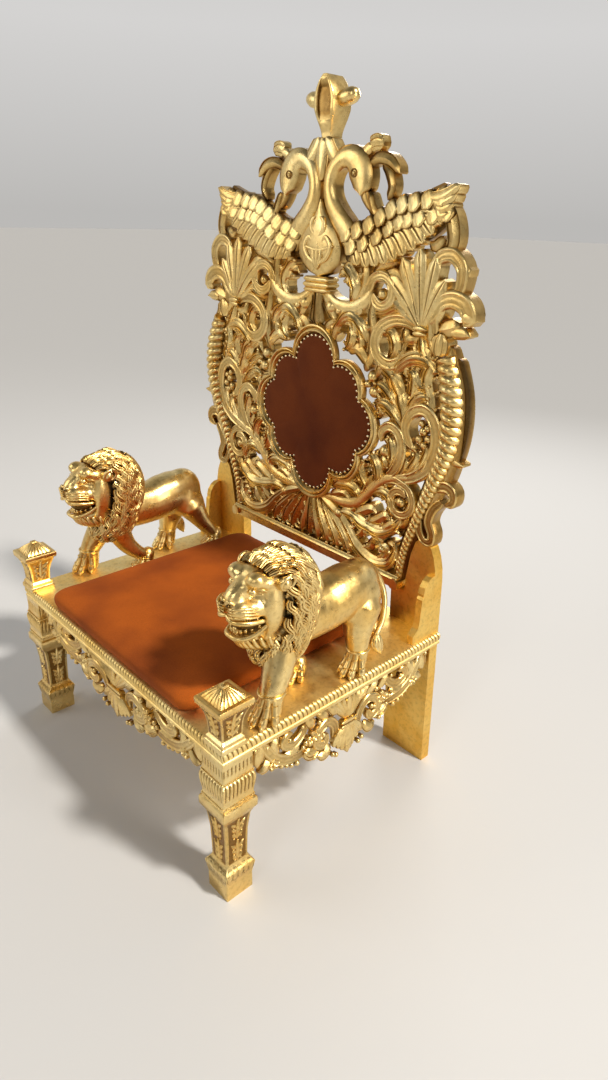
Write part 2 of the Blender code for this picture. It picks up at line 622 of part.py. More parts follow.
def peacock():
    """The right-hand peacock: neck, head, beak, crest, the leaf behind it and the wing."""
    neck = [(10.5, 92, 4.2), (7.2, 97.5, 3.4), (3.9, 102, 2.9), (2.9, 107, 2.4), (4.6, 111, 2.3),
            (8.5, 113.2, 2.3), (12.3, 112.2, 2.6), (14.4, 109.6, 3.0)]
    shapes = [limb([(*on_panel(x, z), r * CM) for x, z, r in neck])]
    head = on_panel(14.8, 109.0)
    shapes.append(ball(head, (0.034, 0.027, 0.035)))
    shapes.append(stroke([(15.8, 107.5, 1.7), (17.0, 103.6, 0.9)], depth=1.2))
    shapes.append(stroke([(13.6, 111.5, 1.1), (16.6, 114.6, 1.4), (20.4, 115.8, 1.6)], depth=1.3))
    shapes.append(stroke([(17, 110.6, 1.1), (21.2, 111.6, 1.2), (25.0, 109.5, 1.2), (25.8, 106.0, 1.1),
                          (24.6, 103.0, 1.2)], depth=1.4))
    shapes.append(stroke([(16.8, 104.4, 1.0), (18.6, 100.6, 1.2), (20, 97.5, 1.4)], depth=1.4))
    upper = along([(8, 94.0), (16.7, 96.0), (26.7, 101.0), (35.5, 103.2), (42.5, 104.2)], 4)
    lower = along([(9.5, 87.6), (16.7, 86.6), (24.3, 87.8), (31.5, 90.5), (38.5, 94.5), (43.8, 100.5)], 3)
    for down in (0.15, 0.45, 0.75):
        run = [(a[0] + (b[0] - a[0]) * down, a[1] + (b[1] - a[1]) * down)
               for a, b in zip(upper[::4], lower[::3])]
        shapes.append(stroke([(x, z, 2.3) for x, z in run], depth=1.3))
    feathers = 10
    for k in range(feathers):
        share = k / (feathers - 1)
        start = upper[round(share * (len(upper) - 1) * 0.92)]
        tip = lower[round(share * (len(lower) - 1))]
        bend = ((start[0] + tip[0]) / 2 + 0.4, (start[1] + tip[1]) / 2 - 0.5)
        shapes.append(stroke([(*start, 1.9), (*bend, 2.0), (*tip, 1.5)], depth=1.7))
    for row, drop in ((0, 0.0), (1, 3.2)):
        scales = 10
        for k in range(scales):
            x, z = upper[round(k / (scales - 1) * (len(upper) - 1))]
            near = on_panel(x + 0.5 * row, z - drop, 0.010 - 0.003 * row)
            shapes.append(ball(near, (0.021, 0.013, 0.017), sides=8))
    shapes.append(stroke([(40, 103.0, 2.0), (44.4, 105.2, 0.8)], depth=1.3))
    return shapes


def middle_pieces():
    """Vase, its collar and foot, and the saddle between the two necks."""
    return [
        stroke([(0, 100.5, 0.7), (0, 98, 2.8), (0, 94, 6.2), (0, 90, 8.1), (0, 86, 7.3), (0, 82.5, 4.6)],
               depth=2.7, sides=12),
        stroke([(-4.6, 80.7, 1.1), (4.6, 80.7, 1.1)], depth=2.7),
        stroke([(-4.8, 78.7, 1.1), (4.8, 78.7, 1.1)], depth=2.7),
        stroke([(0, 79, 2.4), (0, 74, 2.0), (0, 69.0, 2.6)]),
        stroke([(0, 100, 1.2), (0, 108.5, 2.2), (0, 113, 4.0), (0, 118.5, 3.4)], depth=2.2),
    ]


def medallion_outline(steps):
    """Eight round lobes between eight cusps, each lobe an arc that bulges from its chord."""
    cusps = []
    for turn in range(4):
        pair = (CUSP_UP, CUSP_OUT)
        if turn % 2:
            pair = ((CUSP_OUT[0], -CUSP_OUT[1]), (CUSP_UP[0], -CUSP_UP[1]))
        flip = 1 if turn < 2 else -1
        cusps += [(flip * x, flip * z) for x, z in pair]
    outline = []
    for i, (a, b) in enumerate(zip(cusps, cusps[1:] + cusps[:1])):
        middle = ((a[0] + b[0]) / 2, (a[1] + b[1]) / 2)
        half = math.dist(a, b) / 2
        out = (-(b[1] - a[1]) / half / 2, (b[0] - a[0]) / half / 2)
        bulge = DIAGONAL_BULGE if i % 2 == 0 else MEDALLION_REACH - math.hypot(*middle)
        radius = (half * half + bulge * bulge) / (2 * bulge)
        sweep = math.atan2(half, radius - bulge)
        for k in range(steps):
            turn = sweep * (2 * k / steps - 1)
            rise = radius * math.cos(turn) - radius + bulge
            run = radius * math.sin(turn)
            outline.append((middle[0] + out[0] * rise + out[1] * run,
                            middle[1] + out[1] * rise - out[0] * run))
    return outline


def lobed(inset, back):
    """A ring on the medallion's outline, set in, at a distance behind the back's front plane."""
    share = 1 - inset / MEDALLION_REACH
    ring = []
    for x, z in medallion_outline(LOBE_STEPS):
        point = on_panel(x * share / CM, (MEDALLION_RISE + z * share) / CM)
        ring.append(point + Vector((0, back - PANEL_THICKNESS / 2, 0)))
    return ring


def medallion_frame(material):
    """Two round beads with a groove between them, following the eight lobes."""
    rest = PANEL_THICKNESS - MEDALLION_BED - GAP
    section = [(0.0, 0.0), (0.03, 0.8), (0.28, 1.0), (0.5, 0.75), (0.72, 0.92), (1.0, 0.5), (1.0, 0.0)]
    rings = [lobed(inset * FRAME_WIDTH, rest - rise * FRAME_THICKNESS) for inset, rise in section]
    count = len(rings[0])
    verts = [point for ring in rings for point in ring]
    faces = []
    for i in range(len(rings)):
        following = (i + 1) % len(rings)
        for k in range(count):
            faces.append((i * count + k, i * count + (k + 1) % count,
                          following * count + (k + 1) % count, following * count + k))
    return add_object("medallion_frame", verts, faces, material)


def medallion_pad(material):
    rest = PANEL_THICKNESS - MEDALLION_BED - GAP
    edge = FRAME_WIDTH + GAP
    levels = [(edge, rest), (edge + 0.001, rest - 0.006), (edge + 0.012, rest - 0.013),
              (edge + 0.060, rest - 0.013 - PAD_RISE * 0.7), (edge + 0.130, rest - 0.013 - PAD_RISE)]
    return add_object("medallion_pad", *skin([lobed(inset, back) for inset, back in levels]), material)


def rope_column(side):
    """A rope of slanting coils along the edge, with a square foot block and a capital."""
    path = along(ROPE, 12)
    lengths = [0.0]
    for a, b in zip(path, path[1:]):
        lengths.append(lengths[-1] + math.dist(a[:2], b[:2]))
    rings = []
    stations = ROPE_TURNS * 2 + 1
    for k in range(stations):
        goal = lengths[-1] * k / (stations - 1)
        i = max(1, next((n for n, length in enumerate(lengths) if length >= goal - 1e-9), 1))
        share = (goal - lengths[i - 1]) / max(lengths[i] - lengths[i - 1], 1e-9)
        x, z, r = (a + (b - a) * share for a, b in zip(path[i - 1], path[i]))
        ahead = Vector((path[i][0] - path[i - 1][0], 0, path[i][1] - path[i - 1][1])).normalized()
        across = Vector((ahead.z, 0, -ahead.x))
        swell = 1.0 if k % 2 else 0.80
        ring = []
        for turn in (math.radians(d) for d in (0, 50, 90, 130, 180)):
            wide = r * swell * math.cos(turn)
            deep = 1.35 * r * swell * math.sin(turn)
            lift = ROPE_SLANT * wide * min(1.0, k / 4, (stations - 1 - k) / 4)
            flat = on_panel(x + across.x * wide + ahead.x * lift, z + across.z * wide + ahead.z * lift)
            ring.append(flat - Vector((0, min(deep * CM, PANEL_THICKNESS / 2 + 0.008), 0)))
        ring.append(ring[4] + Vector((0, 0.012, 0)))
        ring.append(ring[0] + Vector((0, 0.012, 0)))
        rings.append(ring)
    shape = skin(rings)
    return shape if side == 1 else mirrored_shape(shape)


def back_panel(material):
    """The carved back in one piece."""
    half = [stroke([(x, z, r * SCROLL_BREADTH) for x, z, r in points]) for points in scroll_strokes()]
    half += [stroke(points, depth=1.6, forward=-0.4) for points in outer_edge_strokes()]
    half += palmette() + leaf_fan() + peacock()
    half.append(stroke([(x, z, r + BORDER) for x, z, r in ROPE], depth=1.5, forward=-0.7))
    half += [ball(on_panel(x, z, 0.004), (0.015, 0.020, 0.015), sides=8)
             for x, z in ((22.6, 57.4), (24.4, 54.6), (40.8, 46.4), (36.6, 26.2), (28.2, 66.6))]
    shapes = half + [mirrored_shape(shape) for shape in half] + middle_pieces()
    foot = on_panel(0, 0)
    shapes.append(block((-RAIL_HALF, PANEL_FRONT, foot.z), (RAIL_HALF, PANEL_FRONT + PANEL_THICKNESS,
                                                            foot.z + RAIL_RISE)))
    bed = [lobed(-0.001, back) for back in (PANEL_THICKNESS - MEDALLION_BED, PANEL_THICKNESS - 0.002)]
    shapes.append(skin(bed))
    panel = fuse("back_panel", shapes, PANEL_VOXEL, PANEL_TRIANGLES, material)
    clear = [lobed(-0.0015, back) for back in (-0.05, PANEL_THICKNESS - MEDALLION_BED)]
    combine(panel, add_object("recess", *skin(clear), material), "DIFFERENCE")
    under = block((-1, 0, 0), (1, 2, PANEL_FOOT))
    combine(panel, add_object("under", *under, material), "DIFFERENCE")
    above = block((-0.2, 0, PANEL_FOOT + SADDLE_RISE), (0.2, 2, 3))
    combine(panel, add_object("above", *above, material), "DIFFERENCE")
    for side in (1, -1):
        ends = sorted((side * PANEL_REACH, side * PANEL_REACH * 1.5))
        beyond = block((ends[0], 0, 0), (ends[1], 2, 3))
        combine(panel, add_object("beyond", *beyond, material), "DIFFERENCE")
    for side in (1, -1):
        inner = [(edge_of_border(rise) + 0.0035, PANEL_FOOT + rise) for rise in (0.165, 0.117, 0.036, -0.02)]
        past = UPRIGHT_OUTER + 0.05
        outline = [(past, PANEL_FOOT - 0.02), (past, UPRIGHT_SHOULDER + 0.001),
                   (0.44, UPRIGHT_SHOULDER + 0.001)] + inner
        wall = [[Vector((side * x, y, z)) for x, z in outline] for y in (0.5, 1.0)]
        combine(panel, add_object("wall", *skin(wall), material), "DIFFERENCE")
    for side in (1, -1):
        combine(panel, add_object("rope", *rope_column(side), material), "UNION")
    keep_largest(panel.data)
    return panel


def finial(material):
    """An almond-shaped block on a neck, with a round knob on each side."""
    foot = PANEL_FOOT + SADDLE_RISE + GAP
    y = on_panel(0, SADDLE_RISE / CM).y + FINIAL_CENTRE_BACK - 0.012
    tall = FINIAL_HEIGHT
    levels = [(0.0, 0.026, 0.020), (0.12, 0.030, 0.022), (0.35, 0.055, 0.030), (0.62, 0.068, 0.034),
              (0.72, 0.060, 0.033), (0.84, 0.040, 0.028), (1.0, 0.006, 0.006)]
    rings = []
    for share, wide, deep in levels:
        z = foot + share * tall
        rings.append([Vector((x * wide, y + b * deep, z)) for x, b in
                      ((1, 0), (0.55, 0.75), (0, 1), (-0.55, 0.75), (-1, 0), (-0.55, -0.75), (0, -1),
                       (0.55, -0.75))])
    obj = add_object("finial", *skin(rings), material)
    for side in (1, -1):
        z = foot + tall * 0.62
        knob = limb([(side * 0.040, y, z, 0.016), (side * 0.085, y, z + 0.002, 0.014)], sides=8, steps=2)
        combine(obj, add_object("knob", *knob, material), "UNION")
    return obj


# The lions

def lion(name, side, start, material):
    """A walking lion; it is drawn in hundredths: outwards, back from the seat edge and up."""
    def at(x, y, z):
        return (side * (LION_CENTRE + x * CM * LION_SIZE), start + y * CM, SEAT_HEIGHT + z * CM * LION_SIZE)

    def part(points, sides=10):
        return limb([(*at(x, y, z), r * CM * LION_SIZE) for x, y, z, r in points], sides=sides)

    def lump(x, y, z, wide, long, high):
        return ball(at(x, y, z), (wide * CM, long * CM, high * CM))

    shapes = [
        part([(0, 24, 20, 6.0), (0, 31, 20.2, 6.6), (0, 39, 19.7, 6.5), (0, 46, 21.2, 6.8),
              (0, 52, 21.8, 6.0)]),
        lump(0, 51.5, 20.8, 5.9, 6.8, 7.6),
        part([(0, 24.5, 36.5, 3.6), (0, 28.5, 31, 7.6), (0, 29.3, 24, 8.0), (0, 28, 17, 6.6),
              (0, 26.5, 13.4, 3.4)]),
        lump(0, 27, 29, 8.6, 6.5, 9.0),
        lump(0, 21.5, 30.5, 6.0, 6.6, 6.6),
        part([(0, 21, 30.2, 5.0), (0, 16.5, 29.6, 4.3), (0, 14.6, 29.2, 3.4)]),
        part([(0, 22, 24.5, 3.6), (0, 18.8, 22.6, 2.6), (0, 17.4, 22.2, 1.9)]),
        lump(3.1, 19.4, 35.2, 2.2, 2.6, 2.4), lump(-3.1, 19.4, 35.2, 2.2, 2.6, 2.4),
        lump(6.6, 27.4, 33.6, 2.2, 2.4, 2.2), lump(-6.6, 27.4, 33.6, 2.2, 2.4, 2.2),
        part([(0, 23.5, 22, 5.6), (0, 23.5, 15.5, 5.0)]),
        part([(3.0, 24.5, 17, 4.4), (4.2, 22.0, 11, 3.7), (5.0, 19.6, 5.5, 3.2), (5.0, 18.4, 2, 3.2)]),
        lump(5.0, 17.2, 1.7, 3.5, 4.2, 2.3),
        part([(-3.0, 25.5, 15, 4.3), (-3.2, 28.8, 9, 3.0), (-3.4, 33.0, 4.2, 2.5), (-3.4, 35.4, 2, 2.4)]),
        lump(-3.4, 33.8, 1.4, 2.7, 4.0, 1.9),
        part([(3.0, 50.5, 17, 5.4), (3.8, 48.2, 10.5, 3.8), (4.7, 47.8, 5.5, 2.9), (4.8, 47.2, 2, 3.0)]),
        lump(4.9, 45.6, 1.6, 3.3, 4.2, 2.1),
        part([(-3.0, 52.5, 16.5, 5.2), (-3.2, 56, 10.5, 3.3), (-3.4, 60.2, 4.6, 2.5), (-3.4, 62, 2, 2.4)]),
        lump(-3.4, 60.2, 1.4, 2.7, 4.0, 1.9),
        part([(0.8, 57.3, 22.5, 1.5), (2.4, 58.2, 18, 1.4), (4.2, 56.6, 13.5, 1.4), (5.2, 53.4, 9, 1.5),
              (5.4, 53.2, 5, 1.9), (5.6, 55, 2.4, 1.3)], sides=8),
    ]
    body = fuse(name, shapes, LION_VOXEL, LION_TRIANGLES, material)
    floor = block((-1, -1, 0), (1, 2, SEAT_HEIGHT + GAP))
    combine(body, add_object("floor", *floor, material), "DIFFERENCE")
    keep_largest(body.data)
    return body


def centre_on_floor():
    """Moves the whole throne so that the frame's origin lies under its middle."""
    lows = []
    highs = []
    for obj in bpy.data.objects:
        if obj.type == "MESH":
            lows.append(min(v.co.y for v in obj.data.vertices))
            highs.append(max(v.co.y for v in obj.data.vertices))
    base = bpy.data.objects.new("throne", None)
    bpy.context.scene.collection.objects.link(base)
    base.location.y = -(min(lows) + max(highs)) / 2
    for obj in bpy.data.objects:
        if obj is not base:
            obj.parent = base


def main():
    clear_scene()
    gold = gilding("gilded_wood", (0.83, 0.62, 0.24), 1.0, 0.32)
    plain_gold = gilding("plain_gilding", (0.72, 0.47, 0.13), 1.0, 0.38)
    velvet = gilding("rust_velvet", (0.24, 0.065, 0.022), 0.0, 0.9)
    seat_deck(plain_gold)
    seat_pad(velvet)
    aprons(gold)
    rail_back(plain_gold)
    for label, side in (("left", -1), ("right", 1)):
        front_leg("front_leg_" + label, side, gold)
        post("post_" + label, side, gold)
        upright("back_upright_" + label, side, plain_gold)
        brace("brace_" + label, side, plain_gold)
    back_panel(gold)
    medallion_frame(gold)
    medallion_pad(velvet)
    finial(gold)
    lion("lion_left", -1, LION_LEFT_START, gold)
    lion("lion_right", 1, LION_RIGHT_START, gold)
    centre_on_floor()


main()
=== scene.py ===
import math

import bmesh
import bpy
import numpy as np
from mathutils import Matrix, Vector


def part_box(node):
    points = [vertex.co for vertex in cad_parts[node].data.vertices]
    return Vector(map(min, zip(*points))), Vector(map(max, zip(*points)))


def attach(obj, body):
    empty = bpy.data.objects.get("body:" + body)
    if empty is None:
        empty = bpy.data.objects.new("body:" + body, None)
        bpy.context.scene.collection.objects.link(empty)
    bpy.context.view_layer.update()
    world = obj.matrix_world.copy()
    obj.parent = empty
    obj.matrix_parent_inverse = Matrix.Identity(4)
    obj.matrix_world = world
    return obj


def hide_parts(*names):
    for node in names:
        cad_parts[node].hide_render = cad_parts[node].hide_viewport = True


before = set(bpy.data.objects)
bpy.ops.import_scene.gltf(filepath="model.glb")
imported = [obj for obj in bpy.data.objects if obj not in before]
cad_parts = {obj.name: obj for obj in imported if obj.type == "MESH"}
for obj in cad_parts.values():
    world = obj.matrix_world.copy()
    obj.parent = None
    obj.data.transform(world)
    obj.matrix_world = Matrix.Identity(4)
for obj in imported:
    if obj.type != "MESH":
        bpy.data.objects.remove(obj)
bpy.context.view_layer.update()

CM = 0.01
MM = 0.001
DECK_LOW, DECK_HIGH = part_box("seat_deck")
FRONT_Y = DECK_LOW.y
DECK_TOP = DECK_HIGH.z
DECK_HALF = DECK_HIGH.x

# The camera, as the photograph's own viewing angle gives it (608 x 1080 pixels)
PHOTO_WIDTH = 608
PHOTO_HEIGHT = 1080
FOCAL_PIXELS = 735.54
CENTRE_PIXEL = (341.37, 483.75)
CAMERA_PLACE = (1.5668, -0.7207, 1.4993)
CAMERA_YAW = 0.7884
CAMERA_PITCH = 0.3479
CAMERA_ROLL = 0.0295

# The carved back: its plane, its board and its medallion, in metres
PANEL_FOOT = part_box("back_panel")[0].z
PANEL_FRONT = 0.694
PANEL_LEAN = math.radians(1.5)
BOARD = 0.040
MEDALLION_RISE = 0.43
MEDALLION_REACH = 0.264
CUSP_UP = (0.092, 0.172)
CUSP_OUT = (0.203, 0.084)
DIAGONAL_BULGE = 0.042
MEDALLION_SUNK = 0.014
LOBE_STEPS = 22
FRAME_WIDTH = 0.030
NAIL_GAP = 0.0175

# Gaps between the rows of a carved leaf in centimetres, wider where the leaves are large
FINE_GAP = 0.35
SCROLL_GAP = 0.72
EDGE_GAP = 0.70
BIRD_GAP = 0.50
WING_GAP = 0.36
FACE_GAP = 0.26
VASE_GAP = 0.30
APRON_GAP = 0.40

# Carved leaves: their ribs' section, the lean of their lobes and their depths in metres
RIB_CREST = 0.86
RIB_CUTS = (0.0, 0.30, 0.64, RIB_CREST)
LOBE_LEAN = 0.45
SAW_STEP = 0.0004
LEAST_DEPTH = 0.004
PROUD = 0.012
# A surface this many millimetres below the board's face has the darkest tone of painted shade
TONE_DEPTH = 15


# Mesh tools

# Relief tones are painted shade: they run from 0, a groove painted dark as shade, to 1, a bright crest left
# unshaded
PLAIN_TONE = 0.5
# The backs of boards and the walls of their holes are painted darker as shade
BACK_TONE = 0.38
TUBE_TONE = 0.85
BALL_TONE = 0.9
BODY_TONE = 0.75
# Below this angle in degrees two faces are shaded as one surface
SHARP_ANGLE = 38
SOFT_ANGLE = 60
# Steps between two given points while a smooth line is measured
PATH_STEPS = 12
TUBE_STEPS = 8
# The rings of a limb: their least gap in metres, and their gap as a share of its radius
TUBE_LEAST_GAP = 0.002
TUBE_GAP_SHARE = 0.7
# The angle round a ball's poles that its flat caps take up
POLE = 0.12


class Carving:
    """Gathers closed shapes and makes one mesh piece of them."""

    def __init__(self):
        self.points = []
        self.quads = []
        self.caps = []
        self.shades = []
        self.count = 0

    def add_rings(self, rings, shade=None, closed=False):
        """Rings of equal length, joined in order: capped at each end, or closed like a frame."""
        rings = np.asarray(rings, float)
        rows, sides = rings.shape[:2]
        index = self.count + np.arange(rows * sides).reshape(rows, sides)
        if closed:
            index = np.concatenate([index, index[:1]], 0)
        else:
            self.caps += [index[0][::-1].tolist(), index[-1].tolist()]
        index = np.concatenate([index, index[:, :1]], 1)
        quads = np.stack([index[:-1, :-1], index[:-1, 1:], index[1:, 1:], index[1:, :-1]], -1)
        self.quads.append(quads.reshape(-1, 4))
        self.points.append(rings.reshape(-1, 3))
        if shade is None:
            shade = np.full((rows, sides), PLAIN_TONE)
        self.shades.append(np.asarray(shade, float).reshape(-1))
        self.count += rows * sides

    def tone(self, value):
        """Gives the shape that was added last one relief tone."""
        self.shades[-1] = np.full_like(self.shades[-1], value)

    def mirror(self):
        """Adds the same shapes on the other side of the middle."""
        points = np.concatenate(self.points)
        points[:, 0] *= -1
        quads = np.concatenate(self.quads) + self.count
        shades = np.concatenate(self.shades)
        caps = [[i + self.count for i in cap][::-1] for cap in self.caps]
        self.points.append(points)
        self.quads.append(quads[:, ::-1])
        self.shades.append(shades)
        self.caps += caps
        self.count *= 2

    def build(self, name, material, sharp=SHARP_ANGLE):
        """One mesh object with outward faces and smooth shading below the sharp angle."""
        mesh = bpy.data.meshes.new(name)
        points = np.concatenate(self.points)
        faces = np.concatenate(self.quads).tolist() + self.caps
        mesh.from_pydata(points.tolist(), [], faces)
        work = bmesh.new()
        work.from_mesh(mesh)
        bmesh.ops.recalc_face_normals(work, faces=work.faces)
        work.to_mesh(mesh)
        work.free()
        layer = mesh.attributes.new("relief", "FLOAT", "POINT")
        layer.data.foreach_set("value", np.concatenate(self.shades).astype(np.float32))
        obj = bpy.data.objects.new(name, mesh)
        bpy.context.scene.collection.objects.link(obj)
        finish_mesh(obj, material, sharp)
        return obj


def finish_mesh(obj, material, sharp):
    """Smooth shading with crisp edges, and the material."""
    mesh = obj.data
    mesh.polygons.foreach_set("use_smooth", [True] * len(mesh.polygons))
    mesh.set_sharp_from_angle(angle=math.radians(sharp))
    mesh.materials.clear()
    mesh.materials.append(material)


def curve_through(rows, steps):
    """Rows of numbers on a Catmull-Rom curve through the given rows."""
    padded = np.vstack([2 * rows[0] - rows[1], rows, 2 * rows[-1] - rows[-2]])
    t = (np.arange(steps) / steps)[:, None]
    pieces = []
    for i in range(len(rows) - 1):
        a, b, c, d = padded[i:i + 4]
        pieces.append(0.5 * (2 * b + (c - a) * t + (2 * a - 5 * b + 4 * c - d) * t ** 2
                             + (3 * b - a - 3 * c + d) * t ** 3))
    pieces.append(rows[-1:])
    return np.vstack(pieces)


def run_along(points):
    """The length along a line at each of its points."""
    return np.concatenate([[0], np.cumsum(np.linalg.norm(np.diff(points, axis=0), axis=1))])


def read_at(rows, run, goal):
    """Rows of numbers read off at the given lengths along their line."""
    return np.stack([np.interp(goal, run, rows[:, k]) for k in range(rows.shape[1])], 1)


def smooth_path(points, gap):
    """Evenly spaced rows on a smooth curve; the first two numbers of a row are its place."""
    fine = curve_through(np.asarray(points, float), PATH_STEPS)
    run = run_along(fine[:, :2])
    count = max(5, int(round(run[-1] / gap)) + 1)
    return read_at(fine, run, np.linspace(0, run[-1], count))


def spread(x, z, depth):
    """The three arrays in one common shape."""
    return np.broadcast_arrays(np.asarray(x, float), z, depth)


def unit(vectors):
    """The same directions with length one."""
    length = np.linalg.norm(vectors, axis=-1, keepdims=True)
    return vectors / np.maximum(length, 1e-9)


def spiral(centre, start, turns, first, last, count=12):
    """Points of a spiral; the start angle is in degrees and turns may be negative."""
    share = np.linspace(0, 1, count)
    angle = np.radians(start) + 2 * np.pi * turns * share
    reach = first + (last - first) * share
    return [(centre[0] + r * math.cos(a), centre[1] + r * math.sin(a)) for a, r in zip(angle, reach)]


def on_panel(x, z, forward):
    """World points of the back from centimetres across and up, and metres in front of its back."""
    x, z, forward = spread(x, z, forward)
    y = FRONT_Y + PANEL_FRONT + BOARD + z * CM * math.tan(PANEL_LEAN) - forward
    return np.stack([x * CM, y, PANEL_FOOT + z * CM], -1)


def leaf_form(kind, folds, v, share):
    """Height and painted shade tone across a leaf, from -1 at one edge to 1 at the other."""
    reach = np.abs(v)
    # lines paints shade into the grooves between ribs, the hollows of scrolls and veins, and the edges and
    # tips of scales
    lines = np.ones_like(v)
    if kind == "ribs":
        fold = np.minimum(reach * folds, folds - 1e-6) % 1.0
        fold = np.where(reach > 0.999, 0.0, fold)
        form = np.where(fold > RIB_CREST, (fold - RIB_CREST) / (1 - RIB_CREST), (1 - fold / RIB_CREST) ** 1.5)
        form = form * (1 - 0.30 * reach)
        lines = 1 - 0.9 * np.exp(-((fold - RIB_CREST) / 0.10) ** 2)
    elif kind == "rim":
        form = np.exp(-((reach - 0.74) / 0.20) ** 2) * 1.15 + 0.25 * np.exp(-(v / 0.22) ** 2)
        lines = 0.45 + 0.55 * np.clip(form, 0, 1)
    elif kind == "scale":
        lobe = np.abs(np.sin(math.pi * 1.5 * (v + 1))) ** 0.4
        form = 0.22 * lobe + 0.78 * (1 - v ** 4)
        lines = np.clip(0.62 + 0.38 * lobe - v ** 6 - (share[:, None] > 0.93), 0, 1)
    elif kind == "vein":
        form = 1.0 - 0.9 * np.exp(-(v / 0.12) ** 2) - 0.35 * np.exp(-((reach - 0.55) / 0.08) ** 2)
        lines = np.clip(form, 0, 1)
    else:
        form = 1 + 0 * v
    return form, lines


class Board:
    """A carved board: it turns centimetres on its face and metres of depth into world points."""

    def __init__(self, carving, place, thickness, gap=FINE_GAP):
        self.carving = carving
        self.place = place
        self.thickness = thickness
        self.gap = gap
        self.turn = 0

    def back(self):
        """A slightly different back depth for each shape, as a hand saw leaves it."""
        self.turn += 1
        return SAW_STEP * (self.turn % 7)

    def leaf(self, points, ribs=3, lift=(-6, 0, -2), lobes=0, rise=5.0, dome=2.4, columns=12,
             kind="ribs", width=1.0):
        """A carved leaf along points of x, z and half width in centimetres.

        lift gives the height of its middle line below the board's face at start, middle and
        tip, rise the height of its ribs and dome its roundness, all in millimetres. kind is
        ribs, rim, scale, vein or plain. ribs counts for a ribbed leaf alone, and columns, the
        number of faces across, for the other kinds.
        """
        path = smooth_path(points, self.gap)
        rows = len(path)
        share = np.linspace(0, 1, rows)
        spine = path[:, :2]
        ahead = unit(np.gradient(spine, axis=0))
        side = np.stack([ahead[:, 1], -ahead[:, 0]], 1)
        folds = 2 if ribs > 2 else 1
        across = np.linspace(-1, 1, columns + 1)
        half = path[:, 2] * width
        if kind == "ribs":
            cuts = np.concatenate([[(k + cut) / folds for cut in RIB_CUTS] for k in range(folds)] + [[1.0]])
            across = np.concatenate([-cuts[:0:-1], cuts])
            half = half * 1.10
        half = half * np.clip(np.minimum(share * rows / 3 + 0.55, (1 - share) * rows / 3.5 + 0.30), 0, 1)
        v = across[None, :]
        notch = np.ones(rows)
        shift = 0 * v * half[:, None]
        if lobes:
            notch = np.abs(np.sin(math.pi * lobes * share ** 0.9)) ** 0.55
            half = half * (0.66 + 0.34 * notch)
            shift = LOBE_LEAN * np.abs(v) ** 1.3 * half[:, None]
        x = spine[:, :1] + side[:, :1] * v * half[:, None] + ahead[:, :1] * shift
        z = spine[:, 1:] + side[:, 1:] * v * half[:, None] + ahead[:, 1:] * shift
        start, middle, tip = lift
        line = (start * (1 - share) * (1 - 2 * share) + 4 * middle * share * (1 - share)
                + tip * share * (2 * share - 1))
        form, lines = leaf_form(kind, folds, v, share)
        ease = np.clip(np.minimum(share * 6 + 0.3, (1 - share) * 5 + 0.15), 0, 1)[:, None]
        height = (line[:, None] + rise * form * ease + dome * (1 - np.abs(v) ** 2.4)
                  - (1 - notch[:, None]) * np.abs(v) * 4.5 - dome - rise)
        depth = np.clip(self.thickness + height * MM, LEAST_DEPTH, self.thickness + PROUD)
        back = self.back()
        front = self.place(x, z, depth)
        behind = self.place(x[:, [-1, 0]], z[:, [-1, 0]], np.full((rows, 2), back))
        # Painted shade: deeper surfaces and the lines are darker, and the back and walls take the back's
        # shade tone
        lit = np.clip(1 + height / TONE_DEPTH + 0 * v, 0, 1) * lines
        shade = np.concatenate([lit, np.full((rows, 2), BACK_TONE)], 1)
        self.carving.add_rings(np.concatenate([front, behind], 1), shade)
        if kind == "ribs" and ribs > 2 and path[-1, 2] < 1.25 and tip > -4:
            size = 0.34 + 0.28 * path[-1, 2]
            self.berry(*(spine[-1] - ahead[-1] * size * 0.5), size, -tip - 1.5, 10)

    def acanthus(self, points, lift, lobes=0):
        """A leaf with small side leaves that curl away from both of its edges."""
        path = smooth_path(points, self.gap)
        ahead = unit(np.gradient(path[:, :2], axis=0))
        length = len(path) * self.gap
        pairs = int(np.clip(length / 3.6, 1, 4))
        for k in range(pairs):
            share = (k + 0.75) / (pairs + 0.55)
            index = int(share * (len(path) - 1))
            x, z, half = path[index]
            for side in (-1, 1):
                along = ahead[index]
                out = np.array([along[1], -along[0]]) * side
                reach = half * (1.15 if (k + side) % 2 else 0.95) + 0.35
                start = np.array([x, z]) + out * half * 0.35
                bend = start + out * reach * 0.55 + along * reach * 0.75
                tip = start + out * reach * 1.15 + along * reach * 0.85
                fall = -5.5 + 4 * lift[1] * share * (1 - share)
                self.leaf([(*start, half * 0.42), (*bend, half * 0.46), (*tip, half * 0.30)], 2,
                          (fall - 1, fall + 1.5, fall), rise=3.0, dome=1.6)
                self.berry(*(tip - along * 0.1), 0.30 + 0.10 * half, 1.6 - fall, 8)
        self.leaf(points, 3, lift, lobes)

    def berry(self, x, z, radius, low=0.0, sides=12):
        """A round bead in centimetres on a short post that reaches the board's back."""
        bands = [(0.0, 1.0)] + [(math.sin(math.pi / 2 * k / 4), math.cos(math.pi / 2 * k / 4))
                                for k in range(1, 4)] + [(0.995, 0.12)]
        turn = np.arange(sides) * 2 * np.pi / sides
        foot = self.thickness - low * MM - radius * CM * 0.9
        levels = [(self.back(), 0.86), (foot - radius * CM * 0.3, 0.9)]
        levels += [(foot + radius * CM * up, out) for up, out in bands]
        rings = [self.place(x + radius * out * np.cos(turn), z + radius * out * np.sin(turn), depth)
                 for depth, out in levels]
        # Painted shade: the bead's post is darkest at the back and lightens towards its top
        shade = np.repeat(np.linspace(0, 1, len(rings))[:, None], sides, 1)
        self.carving.add_rings(rings, shade)

